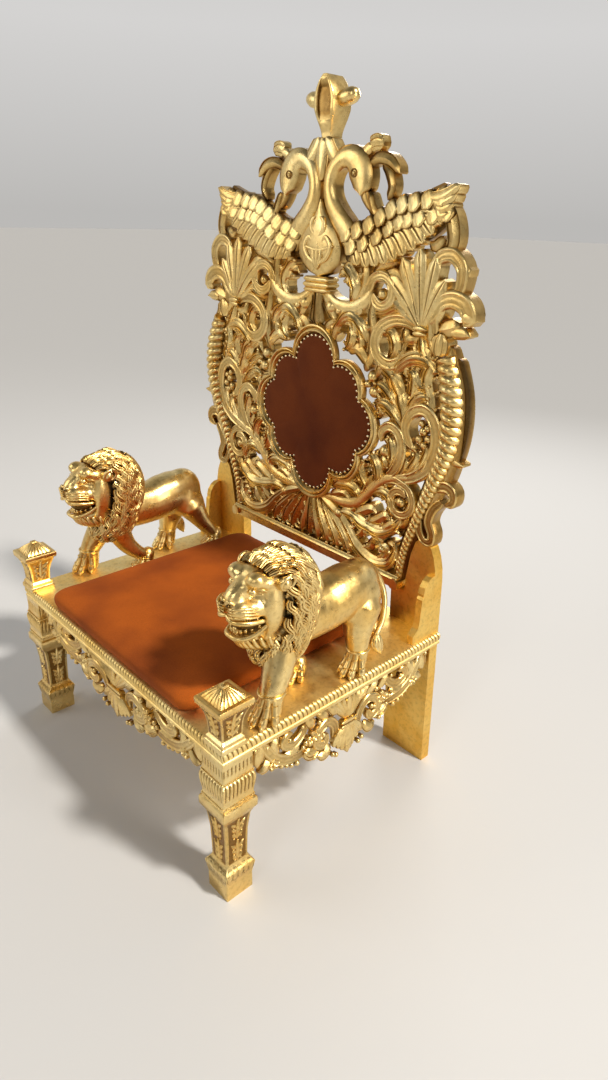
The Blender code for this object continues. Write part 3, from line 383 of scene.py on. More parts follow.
    def strip(self, points, lift, dome, columns=12):
        """A smooth rounded strip."""
        self.leaf(points, lift=lift, rise=0, dome=dome, columns=columns, kind="plain")

    def stem(self, points, lift):
        """A thick smooth stem."""
        self.strip(points, lift, 6, 8)

    def scroll(self, points, lift):
        """A scroll with a raised rim along each edge."""
        self.leaf(points, lift=lift, rise=3.4, dome=2.0, kind="rim")


def tube(carving, points, radii, sides=14, flat=1.0, facing=(0, 1, 0), caps=True):
    """A round limb through world points; flat scales it along the facing direction."""
    dense = curve_through(np.column_stack([np.asarray(points, float), np.asarray(radii, float)]), TUBE_STEPS)
    run = run_along(dense[:, :3])
    gap = max(TUBE_LEAST_GAP, float(np.mean(radii)) * TUBE_GAP_SHARE)
    count = max(4, int(round(run[-1] / gap)) + 1)
    line = read_at(dense, run, np.linspace(0, run[-1], count))
    ahead = unit(np.gradient(line[:, :3], axis=0))
    face = np.asarray(facing, float)
    if abs(unit(line[-1, :3] - line[0, :3]) @ face) > 0.8:
        face = np.array([0.0, 0.0, 1.0]) if abs(face[2]) < 0.5 else np.array([0.0, 1.0, 0.0])
    side = unit(np.cross(ahead, face))
    front = unit(np.cross(side, ahead))
    turn = np.arange(sides) * 2 * np.pi / sides
    rings = []
    radius = line[:, 3]
    ends = [(0.0, 1.0)]
    start = [(-0.85, 0.25), (-0.6, 0.72)] if caps else []
    stop = [(0.6, 0.72), (0.85, 0.25)] if caps else []
    for i in range(count):
        shares = (start + ends) if i == 0 else (ends + stop) if i == count - 1 else ends
        for along, out in shares:
            centre = line[i, :3] + ahead[i] * radius[i] * along
            rings.append(centre + side[i] * (radius[i] * out * np.cos(turn))[:, None]
                         + front[i] * (radius[i] * out * flat * np.sin(turn))[:, None])
    carving.add_rings(rings, np.full((len(rings), sides), TUBE_TONE))


def ball(carving, centre, radii, sides=16):
    """An ellipsoid in world metres."""
    fall = np.linspace(POLE, math.pi - POLE, sides // 2 + 1)
    turn = np.arange(sides) * 2 * np.pi / sides
    rings = [np.asarray(centre) + np.stack([radii[0] * math.sin(f) * np.cos(turn),
                                            radii[1] * math.sin(f) * np.sin(turn),
                                            np.full(sides, radii[2] * math.cos(f))], 1) for f in fall]
    carving.add_rings(rings, np.full((len(rings), sides), BALL_TONE))


def box(carving, low, high):
    """A plain box."""
    corners = ((low[0], low[1]), (high[0], low[1]), (high[0], high[1]), (low[0], high[1]))
    rings = [[(x, y, z) for x, y in corners] for z in (low[2], high[2])]
    carving.add_rings(rings, np.full((2, 4), BALL_TONE))


# Materials: colours as red, green and blue shares, depths in metres

WORN = [(0.30, (0.62, 0.55, 0.45)), (0.52, 1.0)]
# Painted shade for the carving's grooves and hollows, looked up by the relief tones
RECESS_SHADE = [(0.0, (0.08, 0.045, 0.015)), (0.22, (0.36, 0.25, 0.12)), (0.50, (0.80, 0.76, 0.68)), (0.75, 1.0)]
LEAF_WRINKLE = 0.0012
VELVET_NAP = 0.0008
PALE_GOLD, DEEP_GOLD = (0.90, 0.71, 0.33), (0.79, 0.51, 0.15)
# The smooth gilding is more orange than the carved gilding: partly the leaf's own tint, partly painted warm
# reflection from the gold around it
PALE_ORANGE, DEEP_ORANGE = (0.93, 0.64, 0.18), (0.84, 0.46, 0.06)
# The deck's gilding is the carved gilding painted lighter, a painted glare of sunlight on the deck
LIT_PALE_DECK, LIT_DEEP_DECK = (0.97, 0.78, 0.36), (0.90, 0.62, 0.19)
PALE_BRASS, DEEP_BRASS = (0.95, 0.84, 0.60), (0.85, 0.68, 0.38)
DARK_RUST, LIGHT_RUST = (0.250, 0.050, 0.005), (0.420, 0.092, 0.007)
# The back's velvet is the same rust velvet painted darker as shade
SHADED_DARK_RUST, SHADED_LIGHT_RUST = (0.090, 0.018, 0.005), (0.170, 0.038, 0.007)


def new_material(name):
    """A material with its node tree and its shader."""
    material = bpy.data.materials.new(name)
    material.use_nodes = True
    tree = material.node_tree
    return material, tree, tree.nodes["Principled BSDF"]


def set_inputs(made, **values):
    """Sets a node's sockets; an underscore in a name stands for a space."""
    for key, value in values.items():
        made.inputs[key.replace("_", " ")].default_value = value


def node(tree, kind, **values):
    """A new node with the given settings."""
    made = tree.nodes.new(kind)
    for key, value in values.items():
        setattr(made, key, value)
    return made


def noise_node(tree, coords, scale, detail, rough):
    """A noise texture in object space."""
    made = node(tree, "ShaderNodeTexNoise")
    set_inputs(made, Scale=scale, Detail=detail, Roughness=rough)
    tree.links.new(coords.outputs["Object"], made.inputs["Vector"])
    return made.outputs["Fac"]


def ramp(tree, source, stops):
    """A colour ramp; a stop is a place and a colour, or a place and one grey level."""
    made = node(tree, "ShaderNodeValToRGB")
    elements = made.color_ramp.elements
    while len(elements) < len(stops):
        elements.new(0.5)
    for element, (place, colour) in zip(elements, stops):
        element.position = place
        element.color = (*colour, 1) if isinstance(colour, tuple) else (colour, colour, colour, 1)
    tree.links.new(source, made.inputs["Fac"])
    return made.outputs["Color"]


def mix(tree, factor, a, b, kind="MIX"):
    """Two colours mixed; each of the three inputs is a number, a colour or another node's output."""
    made = node(tree, "ShaderNodeMix", data_type="RGBA", blend_type=kind)
    for socket, value in ((made.inputs[0], factor), (made.inputs[6], a), (made.inputs[7], b)):
        if isinstance(value, (int, float)):
            socket.default_value = value
        elif isinstance(value, tuple):
            socket.default_value = (*value, 1)
        else:
            tree.links.new(value, socket)
    return made.outputs[2]


def bump_from(tree, shader, height, strength, distance):
    """Fine relief on the shader's normal."""
    bump = node(tree, "ShaderNodeBump")
    set_inputs(bump, Strength=strength, Distance=distance)
    tree.links.new(height, bump.inputs["Height"])
    tree.links.new(bump.outputs["Normal"], shader.inputs["Normal"])


def gold_leaf(name, pale, deep, rough, relief, crinkle):
    """Metal leaf over wood: colour drifts from pale to deep gold, and grooves are painted dark as shade.

    rough holds its least and greatest roughness. With relief the carving's tones paint shade into it.
    """
    material, tree, shader = new_material(name)
    coords = node(tree, "ShaderNodeTexCoord")
    drift = ramp(tree, noise_node(tree, coords, 7.0, 5.0, 0.6), [(0.32, deep), (0.68, pale)])
    worn = ramp(tree, noise_node(tree, coords, 90.0, 6.0, 0.65), WORN)
    colour = mix(tree, 0.55, drift, worn, "MULTIPLY")
    # The relief tones paint shade into grooves and hollows
    if relief:
        depth = node(tree, "ShaderNodeAttribute", attribute_name="relief")
        colour = mix(tree, 0.92, colour, ramp(tree, depth.outputs["Fac"], RECESS_SHADE), "MULTIPLY")
    tree.links.new(colour, shader.inputs["Base Color"])
    set_inputs(shader, Metallic=1.0)
    gloss = ramp(tree, noise_node(tree, coords, 34.0, 5.0, 0.6), [(0.30, rough[0]), (0.70, rough[1])])
    tree.links.new(gloss, shader.inputs["Roughness"])
    wrinkles = mix(tree, 0.45, noise_node(tree, coords, 60.0, 4.0, 0.6),
                   noise_node(tree, coords, 240.0, 3.0, 0.6))
    bump_from(tree, shader, wrinkles, crinkle, LEAF_WRINKLE)
    return material


def velvet(name, dark, light):
    """Short rust-brown pile: soft patches where it has been stroked, and a fine nap."""
    material, tree, shader = new_material(name)
    coords = node(tree, "ShaderNodeTexCoord")
    patches = ramp(tree, noise_node(tree, coords, 4.5, 3.0, 0.5), [(0.36, dark), (0.64, light)])
    nap = noise_node(tree, coords, 420.0, 4.0, 0.7)
    speck = ramp(tree, nap, [(0.3, 0.72), (0.7, (1.15, 1.12, 1.1))])
    tree.links.new(mix(tree, 1.0, patches, speck, "MULTIPLY"), shader.inputs["Base Color"])
    set_inputs(shader, Roughness=0.92, Specular_IOR_Level=0.2, Sheen_Weight=0.16, Sheen_Roughness=0.4,
               Sheen_Tint=(1.0, 0.36, 0.08, 1))
    bump_from(tree, shader, nap, 0.35, VELVET_NAP)
    return material


# The stage

FLOOR_REACH = 60.0
FLOOR_COLOUR = (0.56, 0.55, 0.535, 1)
# Grey walls from below, at 0, to straight above, at 1
FAR_WALL = [(0.50, (0.50, 0.49, 0.475)), (0.60, (0.66, 0.65, 0.64)), (0.78, (0.50, 0.49, 0.47)), (1.0, 0.16)]
NEAR_WALL = [(0.49, (0.20, 0.16, 0.12)), (0.56, (0.09, 0.075, 0.06)), (0.70, 0.26), (0.85, 0.08)]
# Name, kind, place, aim, energy, size and colour of each light
LIGHTS = (
    ("sun", "SUN", (3.2, 0.9, 4.4), (0, 0, 0.6), 3.1, math.radians(6), (1.0, 0.96, 0.90)),
    ("softbox_left", "AREA", (-2.4, -3.0, 2.6), (0, 0, 0.9), 46, (2.4, 2.6), (1.0, 0.98, 0.95)),
    ("softbox_front", "AREA", (1.6, -3.4, 2.9), (0, 0, 0.9), 26, (1.0, 1.6), (1.0, 0.98, 0.95)),
    ("softbox_right", "AREA", (3.2, 0.4, 1.7), (0.3, 0, 0.8), 40, (0.8, 1.8), (1.0, 0.95, 0.88)),
    ("softbox_back", "AREA", (-1.2, 3.2, 2.6), (0, 0.3, 1.0), 50, (2.0, 1.2), (1, 1, 1)),
)
SENSOR_HEIGHT = 36.0


def sky(tree):
    """A bright plain room ahead of the camera and a darker one behind it, for reflections."""
    coords = node(tree, "ShaderNodeTexCoord")
    parts = node(tree, "ShaderNodeSeparateXYZ")
    tree.links.new(coords.outputs["Generated"], parts.inputs[0])
    height = node(tree, "ShaderNodeMath", operation="MULTIPLY_ADD")
    height.inputs[1].default_value = 0.5
    height.inputs[2].default_value = 0.5
    tree.links.new(parts.outputs["Z"], height.inputs[0])
    facing = node(tree, "ShaderNodeVectorMath", operation="DOT_PRODUCT")
    tree.links.new(coords.outputs["Generated"], facing.inputs[0])
    facing.inputs[1].default_value = (-math.sin(CAMERA_YAW), math.cos(CAMERA_YAW), 0)
    blend = ramp(tree, facing.outputs["Value"], [(0.05, 0.0), (0.45, 1.0)])
    near_wall = ramp(tree, height.outputs[0], NEAR_WALL)
    far_wall = ramp(tree, height.outputs[0], FAR_WALL)
    back = tree.nodes["Background"]
    tree.links.new(mix(tree, blend, near_wall, far_wall), back.inputs["Color"])
    set_inputs(back, Strength=1.0)


def light(name, kind, place, aim, energy, size, colour):
    """A sun, whose size is its angle, or a softbox, whose size is its width and height."""
    data = bpy.data.lights.new(name, kind)
    data.energy = energy
    data.color = colour
    if kind == "AREA":
        data.shape = "RECTANGLE"
        data.size, data.size_y = size
    else:
        data.angle = size
    obj = bpy.data.objects.new(name, data)
    obj.location = place
    obj.rotation_euler = (Vector(aim) - Vector(place)).to_track_quat("-Z", "Y").to_euler()
    bpy.context.scene.collection.objects.link(obj)


def stage():
    """Plain pale floor, soft light and the photograph's camera."""
    scene = bpy.context.scene
    scene.view_settings.view_transform = "Standard"
    world = bpy.data.worlds.new("studio")
    scene.world = world
    world.use_nodes = True
    sky(world.node_tree)

    floor_mesh = bpy.data.meshes.new("floor")
    reach = FLOOR_REACH
    floor_mesh.from_pydata([(-reach, -reach, 0), (reach, -reach, 0), (reach, reach, 0), (-reach, reach, 0)],
                           [], [(0, 1, 2, 3)])
    floor = bpy.data.objects.new("floor", floor_mesh)
    scene.collection.objects.link(floor)
    material, tree, shader = new_material("floor")
    set_inputs(shader, Base_Color=FLOOR_COLOUR, Roughness=0.7)
    floor_mesh.materials.append(material)
    for lamp in LIGHTS:
        light(*lamp)

    camera = bpy.data.cameras.new("camera")
    camera.sensor_fit = "VERTICAL"
    camera.sensor_height = SENSOR_HEIGHT
    camera.lens = FOCAL_PIXELS / PHOTO_HEIGHT * SENSOR_HEIGHT
    camera.shift_x = (PHOTO_WIDTH / 2 - CENTRE_PIXEL[0]) / PHOTO_HEIGHT
    camera.shift_y = (CENTRE_PIXEL[1] - PHOTO_HEIGHT / 2) / PHOTO_HEIGHT
    ahead = Vector((-math.sin(CAMERA_YAW) * math.cos(CAMERA_PITCH),
                    math.cos(CAMERA_YAW) * math.cos(CAMERA_PITCH), -math.sin(CAMERA_PITCH)))
    right = Vector((math.cos(CAMERA_YAW), math.sin(CAMERA_YAW), 0))
    up = right.cross(ahead)
    level = right * math.cos(CAMERA_ROLL) + up * math.sin(CAMERA_ROLL)
    above = -right * math.sin(CAMERA_ROLL) + up * math.cos(CAMERA_ROLL)
    turn = Matrix((level, above, -ahead)).transposed().to_4x4()
    view = bpy.data.objects.new("camera", camera)
    place = Vector(CAMERA_PLACE) + Vector((0, FRONT_Y, 0))
    view.matrix_world = Matrix.Translation(place) @ turn
    scene.collection.objects.link(view)
    scene.camera = view


# The carved back

# The rope column's line: across, up and half width in centimetres
ROPE = [(36.7, 3.0, 1.3), (38.0, 11.7, 1.5), (40.9, 20.2, 1.8), (43.8, 27.8, 2.1), (46.8, 35.3, 2.6),
        (49.3, 42.3, 3.0), (50.2, 49.3, 3.3), (49.6, 56.6, 3.4), (47.6, 63.6, 3.0), (46.4, 66.0, 2.8)]
ROPE_GAP = 0.16
ROPE_TURNS = 34
ROPE_SLANT = 0.42
RAIL_HALF = 37.6


def lower_scrolls(board):
    """Fan, sweeping leaves and small volutes below the medallion."""
    leaf = board.leaf
    grow = board.acanthus
    grow([(0, 17.5, 1.0), (0, 11, 1.6), (0, 6, 1.7), (0, 3.6, 1.0)], (-6, 0, -3))
    leaf([(0.8, 17.6, 0.8), (1.8, 12, 1.5), (3.4, 7, 1.6), (3.8, 3.8, 1.0)], 2, (-7, -1, -4))
    grow([(2.4, 17.2, 0.8), (5.0, 12, 1.7), (7.4, 7.5, 1.7), (8.0, 3.8, 1.1)], (-6, 0, -3))
    grow([(4.4, 17, 0.8), (8.4, 12.2, 1.8), (11.4, 7.8, 1.8), (12.6, 3.8, 1.1)], (-7, 0, -3))
    grow([(6.5, 16.8, 0.9), (11.2, 12.6, 1.8), (15.5, 8.4, 1.9), (17.8, 3.8, 1.2)], (-6, 0, -3))
    leaf([(3.6, 18.6, 0.8), (7.6, 17.2, 1.3), (11.2, 15.6, 1.4), (13.0, 14.6, 1.0)], 2, (-5, 1, 0))
    grow([(12, 15.4, 1.2), (16.5, 11.6, 1.9), (21, 7.2, 2.1), (27, 4.9, 2.1), (32.5, 6.0, 1.8),
          (35.0, 10.0, 1.3), (35.0, 13.4, 0.6)], (-3, 1, -2))
    leaf([(18.5, 9.8, 0.9), (21.6, 11.6, 1.5), (23.4, 14.4, 0.9)], 2, (-8, -2, 0))
    leaf([(22.8, 7.4, 0.9), (26.2, 9.2, 1.5), (27.2, 12.6, 0.9)], 2, (-8, -2, 0))
    leaf([(28.0, 6.0, 0.9), (31.8, 8.0, 1.4), (32.2, 10.8, 1.2), (30.0, 11.2, 0.8)], 2, (-8, -2, 0))
    board.berry(30.4, 9.6, 1.2)
    grow([(12.5, 15.8, 1.3), (17, 16.4, 1.8), (22.5, 15.0, 2.1), (28.5, 14.4, 2.1), (33.5, 16.8, 1.7),
          (36.6, 21.0, 0.8)], (-2, 2, -2), lobes=4)
    leaf([(17.5, 16.4, 1.0), (21.5, 18.4, 1.6), (25.6, 20.6, 1.4), (27.8, 19.8, 0.8)], 2, (-8, 0, 1))
    leaf([(23.0, 15.8, 1.0), (27.6, 17.6, 1.6), (31.2, 20.2, 1.4), (33.0, 19.2, 0.8)], 2, (-8, 0, 1))
    leaf([(28.0, 15.2, 0.9), (31.6, 16.8, 1.5), (34.6, 19.2, 1.0)], 2, (-8, 0, 0))
    board.berry(12.4, 15.2, 1.7, -2)
    board.stem([(5, 18.0, 1.3), (9.5, 18.8, 1.5), (14, 18.8, 1.6), (19.5, 20.5, 1.7), (24.2, 25.6, 1.7),
                (29, 30, 1.6), (35, 32.2, 1.5), (41.5, 33.4, 1.0)], (-5, -3, -5))
    grow([(19.8, 20.6, 1.2), (19.8, 23.6, 1.7), (16.4, 25.0, 1.7), (12, 24.4, 1.5), (9.4, 22.4, 0.8)],
         (-5, 1, 0))
    leaf([(17.2, 20.0, 1.0), (14.2, 22.0, 1.3), (10.6, 21.0, 1.2), (8.4, 19.4, 0.7)], 2, (-8, -2, -2))
    grow([(24.3, 25.4, 1.0), (21.6, 28.4, 1.8), (20.4, 31.6, 1.7), (21.8, 34.0, 0.8)], (-5, 0, 1))
    grow([(25.4, 27.2, 1.0), (27.4, 30.8, 1.8), (26.2, 34.6, 1.7), (23.6, 36.6, 0.8)], (-5, 1, 1))
    leaf([(21.0, 22.4, 1.0), (22.8, 26.4, 1.4), (24.8, 30.2, 1.2)], 2, (-7, -2, -4))
    board.scroll([(28.6, 29.6, 1.1), (32.6, 31.0, 1.3)]
                 + [(x, z, 1.25) for x, z in spiral((35.8, 25.8), 95, -1.15, 5.0, 2.4)], (-4, 1, 0))
    board.berry(35.8, 25.4, 1.7)
    grow([(24.6, 24.4, 1.0), (28.6, 26.6, 1.6), (32.0, 25.6, 1.6), (33.2, 22.4, 1.3), (32.2, 20.2, 0.7)],
         (-6, 0, 0))
    leaf([(34.0, 17.4, 0.9), (37.6, 19.6, 1.3), (38.6, 23.6, 1.2), (39.8, 27.0, 0.8)], 2, (-8, -3, -3))
    leaf([(31.4, 12.4, 0.9), (34.8, 11.6, 1.2), (36.4, 8.0, 1.1), (35.6, 4.4, 0.8)], 2, (-10, -4, -5))


def middle_scrolls(board):
    """The big leaves and volutes beside the medallion."""
    leaf = board.leaf
    grow = board.acanthus
    board.scroll([(29.5, 29.7, 1.1), (34.5, 31.6, 1.5), (40, 33.8, 1.8), (44.6, 38, 2.0),
                  (46.4, 44, 1.9), (45.2, 49.6, 1.8), (41.6, 52.2, 1.7), (37.6, 50.6, 1.6),
                  (35.8, 46.8, 1.5), (37.2, 43, 1.3), (39.4, 41.4, 0.9)], (-4, 1, 1))
    for x, z, r in ((41.6, 46.6, 1.4), (43.4, 44.8, 1.2), (40.4, 44.2, 1.3), (42.2, 42.9, 1.2),
                    (39.0, 41.6, 1.4), (43.0, 47.6, 1.0), (41.0, 48.6, 1.0)):
        board.berry(x, z, r, 1.0)
    grow([(39.4, 33.6, 1.0), (42.0, 37.4, 1.9), (43.4, 41.0, 1.5), (43.0, 43.4, 0.7)], (-5, 0, -1))
    grow([(36.0, 32.4, 1.0), (38.8, 36.0, 1.8), (40.4, 39.2, 1.4), (40.0, 41.4, 0.7)], (-5, 0, 0))
    leaf([(33.6, 31.4, 0.9), (36.4, 34.6, 1.4), (37.0, 38.0, 1.1)], 2, (-7, -2, -1))
    board.scroll([(29.8, 30.5, 1.0), (33.4, 34.6, 1.6), (35.2, 40, 1.6), (33.8, 44.2, 1.6),
                  (30.4, 45.6, 1.5), (27.8, 43.6, 1.4), (27.6, 40.8, 1.0)], (-4, 2, 1))
    board.berry(28.8, 38.2, 1.9)
    grow([(30.6, 33.0, 1.0), (32.0, 37.2, 1.8), (31.2, 41.2, 1.5), (30.2, 43.0, 0.8)], (-6, -1, 0))
    leaf([(28.0, 31.6, 0.9), (29.2, 34.6, 1.4), (28.4, 37.0, 1.0)], 2, (-7, -2, -1))
    leaf([(35.4, 44.6, 1.0), (34.6, 50.6, 2.3), (32.2, 56.5, 2.6), (28.6, 60.2, 2.0), (25.2, 61.4, 0.9)],
         4, (-4, 3, 0), lobes=4)
    grow([(34.2, 46, 0.9), (31, 49.6, 1.7), (27.6, 51.2, 1.6), (24.2, 50.6, 0.9)], (-5, 1, 1))
    grow([(34.4, 48.0, 0.9), (30.6, 53.0, 1.7), (27.0, 55.6, 1.5), (24.0, 56.2, 0.8)], (-7, 0, 0))
    grow([(35.6, 46.0, 0.9), (37.0, 52.0, 1.9), (39.8, 55.2, 1.8), (43.0, 55.4, 0.9)], (-5, 1, 0))
    grow([(35.6, 51.0, 0.9), (37.4, 56.0, 1.9), (37.4, 60.0, 1.7), (35.0, 62.0, 0.9)], (-7, 0, -1))
    board.berry(22.6, 57.6, 1.9, 1)
    board.berry(23.4, 53.6, 1.9, 1)
    board.berry(20.9, 55.4, 1.2, 3)
    board.berry(25.8, 54.6, 1.1, 3)
    leaf([(25.4, 46.6, 0.9), (26.4, 49.4, 1.3), (24.0, 51.6, 1.1)], 2, (-8, -3, -3))
    grow([(44.6, 49.5, 0.9), (43.0, 55.0, 1.7), (41.4, 59.6, 2.0), (42.6, 64.0, 1.5)], (-6, 0, -1))
    grow([(43.6, 62.6, 1.3), (40.6, 64.6, 1.9), (36.2, 64.6, 2.0), (32.2, 62.0, 1.7), (30.2, 59.0, 0.9)],
         (-3, 3, 0))
    grow([(36.8, 63.4, 1.3), (37.4, 60.2, 1.8), (40.4, 57.8, 1.5), (43.0, 58.6, 0.9)], (-6, 0, -1))
    leaf([(31.6, 61.8, 1.0), (28.8, 62.6, 1.4), (25.6, 60.2, 1.3), (24.2, 57.6, 0.8)], 2, (-7, -1, -1))
    leaf([(19.6, 58.8, 1.1), (21.8, 63.4, 1.6), (22.6, 68.4, 1.7), (21.4, 73.4, 1.5), (21.6, 78.0, 1.2)],
         2, (-5, -1, -5))
    leaf([(13.0, 63.0, 1.0), (16.6, 64.4, 1.6), (20.0, 61.8, 1.4), (21.0, 59.4, 0.9)], 2, (-6, 0, -3))


def upper_scrolls(board):
    """Volutes between the medallion, the vase and the palmette."""
    leaf = board.leaf
    grow = board.acanthus
    board.scroll([(37.6, 71.2, 0.9), (34.5, 73.2, 1.5), (29.6, 73.4, 1.7), (25.2, 71.2, 1.8),
                  (23.2, 67.2, 1.8), (24.8, 63.4, 1.8), (28.6, 61.9, 1.7), (32.2, 63.4, 1.4),
                  (33.2, 66.4, 1.0)], (-5, 2, 0))
    grow([(28.0, 62.6, 1.0), (30.4, 66.4, 1.9), (28.8, 70.0, 1.7), (26.2, 70.2, 0.9)], (-6, 0, 0))
    board.scroll([(x, z, 0.75) for x, z in spiral((35.6, 66.4), 60, 1.05, 2.3, 2.2, 16)], (-3, -2, -3))
    leaf([(33.0, 72.2, 1.0), (33.8, 69.4, 1.6), (36.0, 69.0, 1.2), (38.0, 70.4, 0.8)], 2, (-7, -1, -3))
    grow([(38.4, 70.8, 0.9), (39.8, 66.8, 2.0), (42.0, 63.4, 1.4)], (-3, 1, -3))
    leaf([(38.0, 71.0, 0.8), (41.6, 69.8, 1.3), (43.6, 66.4, 1.1)], 2, (-5, -1, -3))
    grow([(6.2, 64.6, 1.2), (8.6, 69.8, 1.8), (13.0, 72.8, 2.2), (17.4, 70.6, 2.1), (19.8, 66.4, 1.5)],
         (-4, 3, -3), lobes=3)
    grow([(12.6, 71.2, 1.0), (14.4, 67.8, 1.8), (13.4, 64.6, 1.3), (11.4, 63.4, 0.8)], (-6, 0, -2))
    leaf([(16.4, 70.0, 0.9), (18.0, 66.4, 1.4), (16.6, 63.4, 1.1)], 2, (-7, -2, -4))
    board.berry(19.2, 62.6, 1.5, 3)
    leaf([(2.6, 66.0, 1.0), (5.2, 69.2, 1.5), (8.8, 70.6, 1.2)], 2, (-7, -2, -5))
    board.stem([(3, 78.2, 1.2), (7.5, 75.4, 1.6), (13, 74.8, 1.9), (18, 77.0, 1.9), (21.0, 80.6, 1.3)],
               (-5, -1, -4))
    board.berry(5.4, 74.4, 2.3, -1)
    board.berry(8.6, 73.6, 1.3, 2)
    grow([(12.6, 75.6, 1.2), (14.8, 79.4, 2.2), (13.0, 83.6, 2.2), (9.6, 86.0, 1.0)], (-4, 2, -1),
         lobes=3)
    leaf([(14.0, 76.4, 1.0), (17.6, 80.0, 1.7), (18.2, 84.6, 1.4), (17.0, 87.6, 0.9)], 2, (-6, -1, -4))
    board.scroll([(19.4, 75.2, 1.1), (19.4, 80.0, 1.6)]
                 + [(x, z, 1.45) for x, z in spiral((24.4, 79.8), 170, -0.95, 4.6, 3.0)], (-4, 2, -1))
    board.berry(24.4, 79.4, 1.6, 1)
    grow([(21.6, 74.4, 1.0), (25.8, 74.6, 1.6), (30.0, 76.2, 1.5), (33.6, 75.0, 0.9)], (-6, 0, -3))
    leaf([(24.0, 84.0, 1.0), (28.0, 84.6, 1.6), (30.6, 81.6, 1.4), (30.2, 78.4, 0.9)], 2, (-6, -1, -3))
    leaf([(20.6, 84.0, 1.0), (24.4, 87.0, 1.5), (29.0, 87.6, 1.2)], 2, (-8, -3, -5))
    leaf([(0, 79, 2.2), (0, 75.0, 2.0), (0, 71.0, 3.0), (0, 68.6, 3.4)], 5, (-3, 0, -4))
    leaf([(1.4, 78.6, 1.0), (4.2, 75.2, 1.5), (6.6, 72.0, 1.4), (8.0, 69.8, 0.9)], 2, (-6, -1, -5))


def palmette(board):
    """Plumes with a scored middle, spreading from a ringed collar."""
    for tip, bow in (((26.6, 84.2), -2.6), ((44.8, 84.4), 2.4), ((31.0, 88.8), -1.6), ((41.6, 89.4), 1.4),
                     ((36.4, 91.2), -0.2)):
        middle = ((38.4 + tip[0]) / 2 + bow * 0.1, (72 + tip[1]) / 2 + abs(bow) * 0.5)
        board.leaf([(38.4, 71.6, 0.9), (middle[0], middle[1], 1.9), (tip[0], tip[1], 1.9)], 3,
                   (-3, 2, 2), kind="vein", rise=3.4, dome=4.5)
    board.leaf([(38.4, 72.2, 0.8), (33.4, 74.6, 1.6), (29.4, 77.6, 1.3), (27.6, 79.6, 0.7)], 2,
               (-5, 0, -1))
    board.leaf([(38.6, 72.2, 0.8), (42.6, 75.0, 1.5), (45.6, 79.0, 1.0)], 2, (-5, 0, -1))
    for rise in (71.0, 72.3):
        board.strip([(36.4, rise, 0.62), (38.6, rise + 0.1, 0.66), (40.8, rise, 0.62)], (3, 5, 3), 3)


def edge_board(board):
    """The smooth outer board behind the rope with its knob, ear, capital and curls."""
    leaf = board.leaf
    board.strip([(x + 0.4, z, r + 1.0) for x, z, r in ROPE], (-13, -13, -13), 3)
    board.strip([(45.8, 26.4, 1.4), (49.4, 34.4, 1.9), (51.6, 42, 1.9), (52.0, 50, 1.9), (51.2, 58, 1.9),
                 (48.8, 64.6, 1.8), (46.4, 69.4, 1.8)], (-8, -8, -8), 4)
    board.strip([(50.8, 41, 1.2), (53.4, 40.6, 0.9), (55.2, 40.6, 1.1)], (-8, -6, -5), 4)
    board.scroll([(46.4, 32.4, 1.5), (50.0, 33.8, 1.7), (52.6, 32.8, 1.6), (52.8, 30.2, 1.3),
                  (50.6, 28.8, 1.2)], (-5, -3, -4))
    board.scroll([(49.4, 29.4, 1.3), (46.8, 26.4, 1.5), (45.8, 22.8, 1.5), (47.2, 19.6, 1.4),
                  (46.8, 17.2, 1.3), (44.4, 17.4, 1.2), (42.6, 20.6, 1.3), (42.8, 23.6, 1.1)],
                 (-5, -4, -5))
    leaf([(44.4, 66.5, 2.4), (44.6, 69, 2.6), (45.0, 71.8, 2.4)], 3, (0, 1, 0), rise=2.5)
    board.scroll([(42.6, 71.6, 1.5), (42.0, 75.4, 1.8), (43.8, 78.8, 2.0), (47.4, 80.2, 2.2),
                  (51.2, 79.0, 2.4), (52.6, 76.2, 2.2), (51.2, 74.6, 1.4)], (-2, 2, 0))
    board.strip([(50.8, 76.6, 2.4), (53.4, 76.0, 1.7), (54.8, 75.8, 0.8)], (-1, -1, -3), 7)
    board.strip([(47.8, 72.4, 1.6), (51.2, 72.6, 1.5), (53.4, 72.2, 1.0)], (-4, -3, -4), 6)
    leaf([(43.4, 72.4, 1.6), (46.8, 73.2, 2.2), (49.8, 74.4, 2.0)], 2, (-5, -2, -3))
    leaf([(43.2, 66.0, 1.2), (41.6, 69.2, 1.4), (41.2, 73.2, 1.3), (42.0, 77.0, 1.0)], 2, (-5, -1, -3))
    board.scroll([(47.6, 79.4, 1.3), (49.2, 83.4, 1.6), (49.2, 87.4, 1.8), (46.2, 90.2, 1.8),
                  (42.4, 89.4, 1.7), (41.2, 86.4, 1.4), (42.6, 84.4, 1.1)], (-4, 0, -2))
    board.strip([(48.6, 87.2, 1.3), (50.6, 87.0, 1.1), (50.2, 84.6, 0.8)], (-5, -4, -5), 5)
    leaf([(44.4, 89.4, 1.4), (45.8, 93.6, 1.7), (44.8, 98.0, 1.8), (42.6, 101.6, 1.4)], 2, (-6, -3, -6))
    leaf([(42.8, 94.0, 1.1), (40.6, 92.0, 1.4), (38.6, 92.8, 1.0)], 2, (-7, -3, -5))


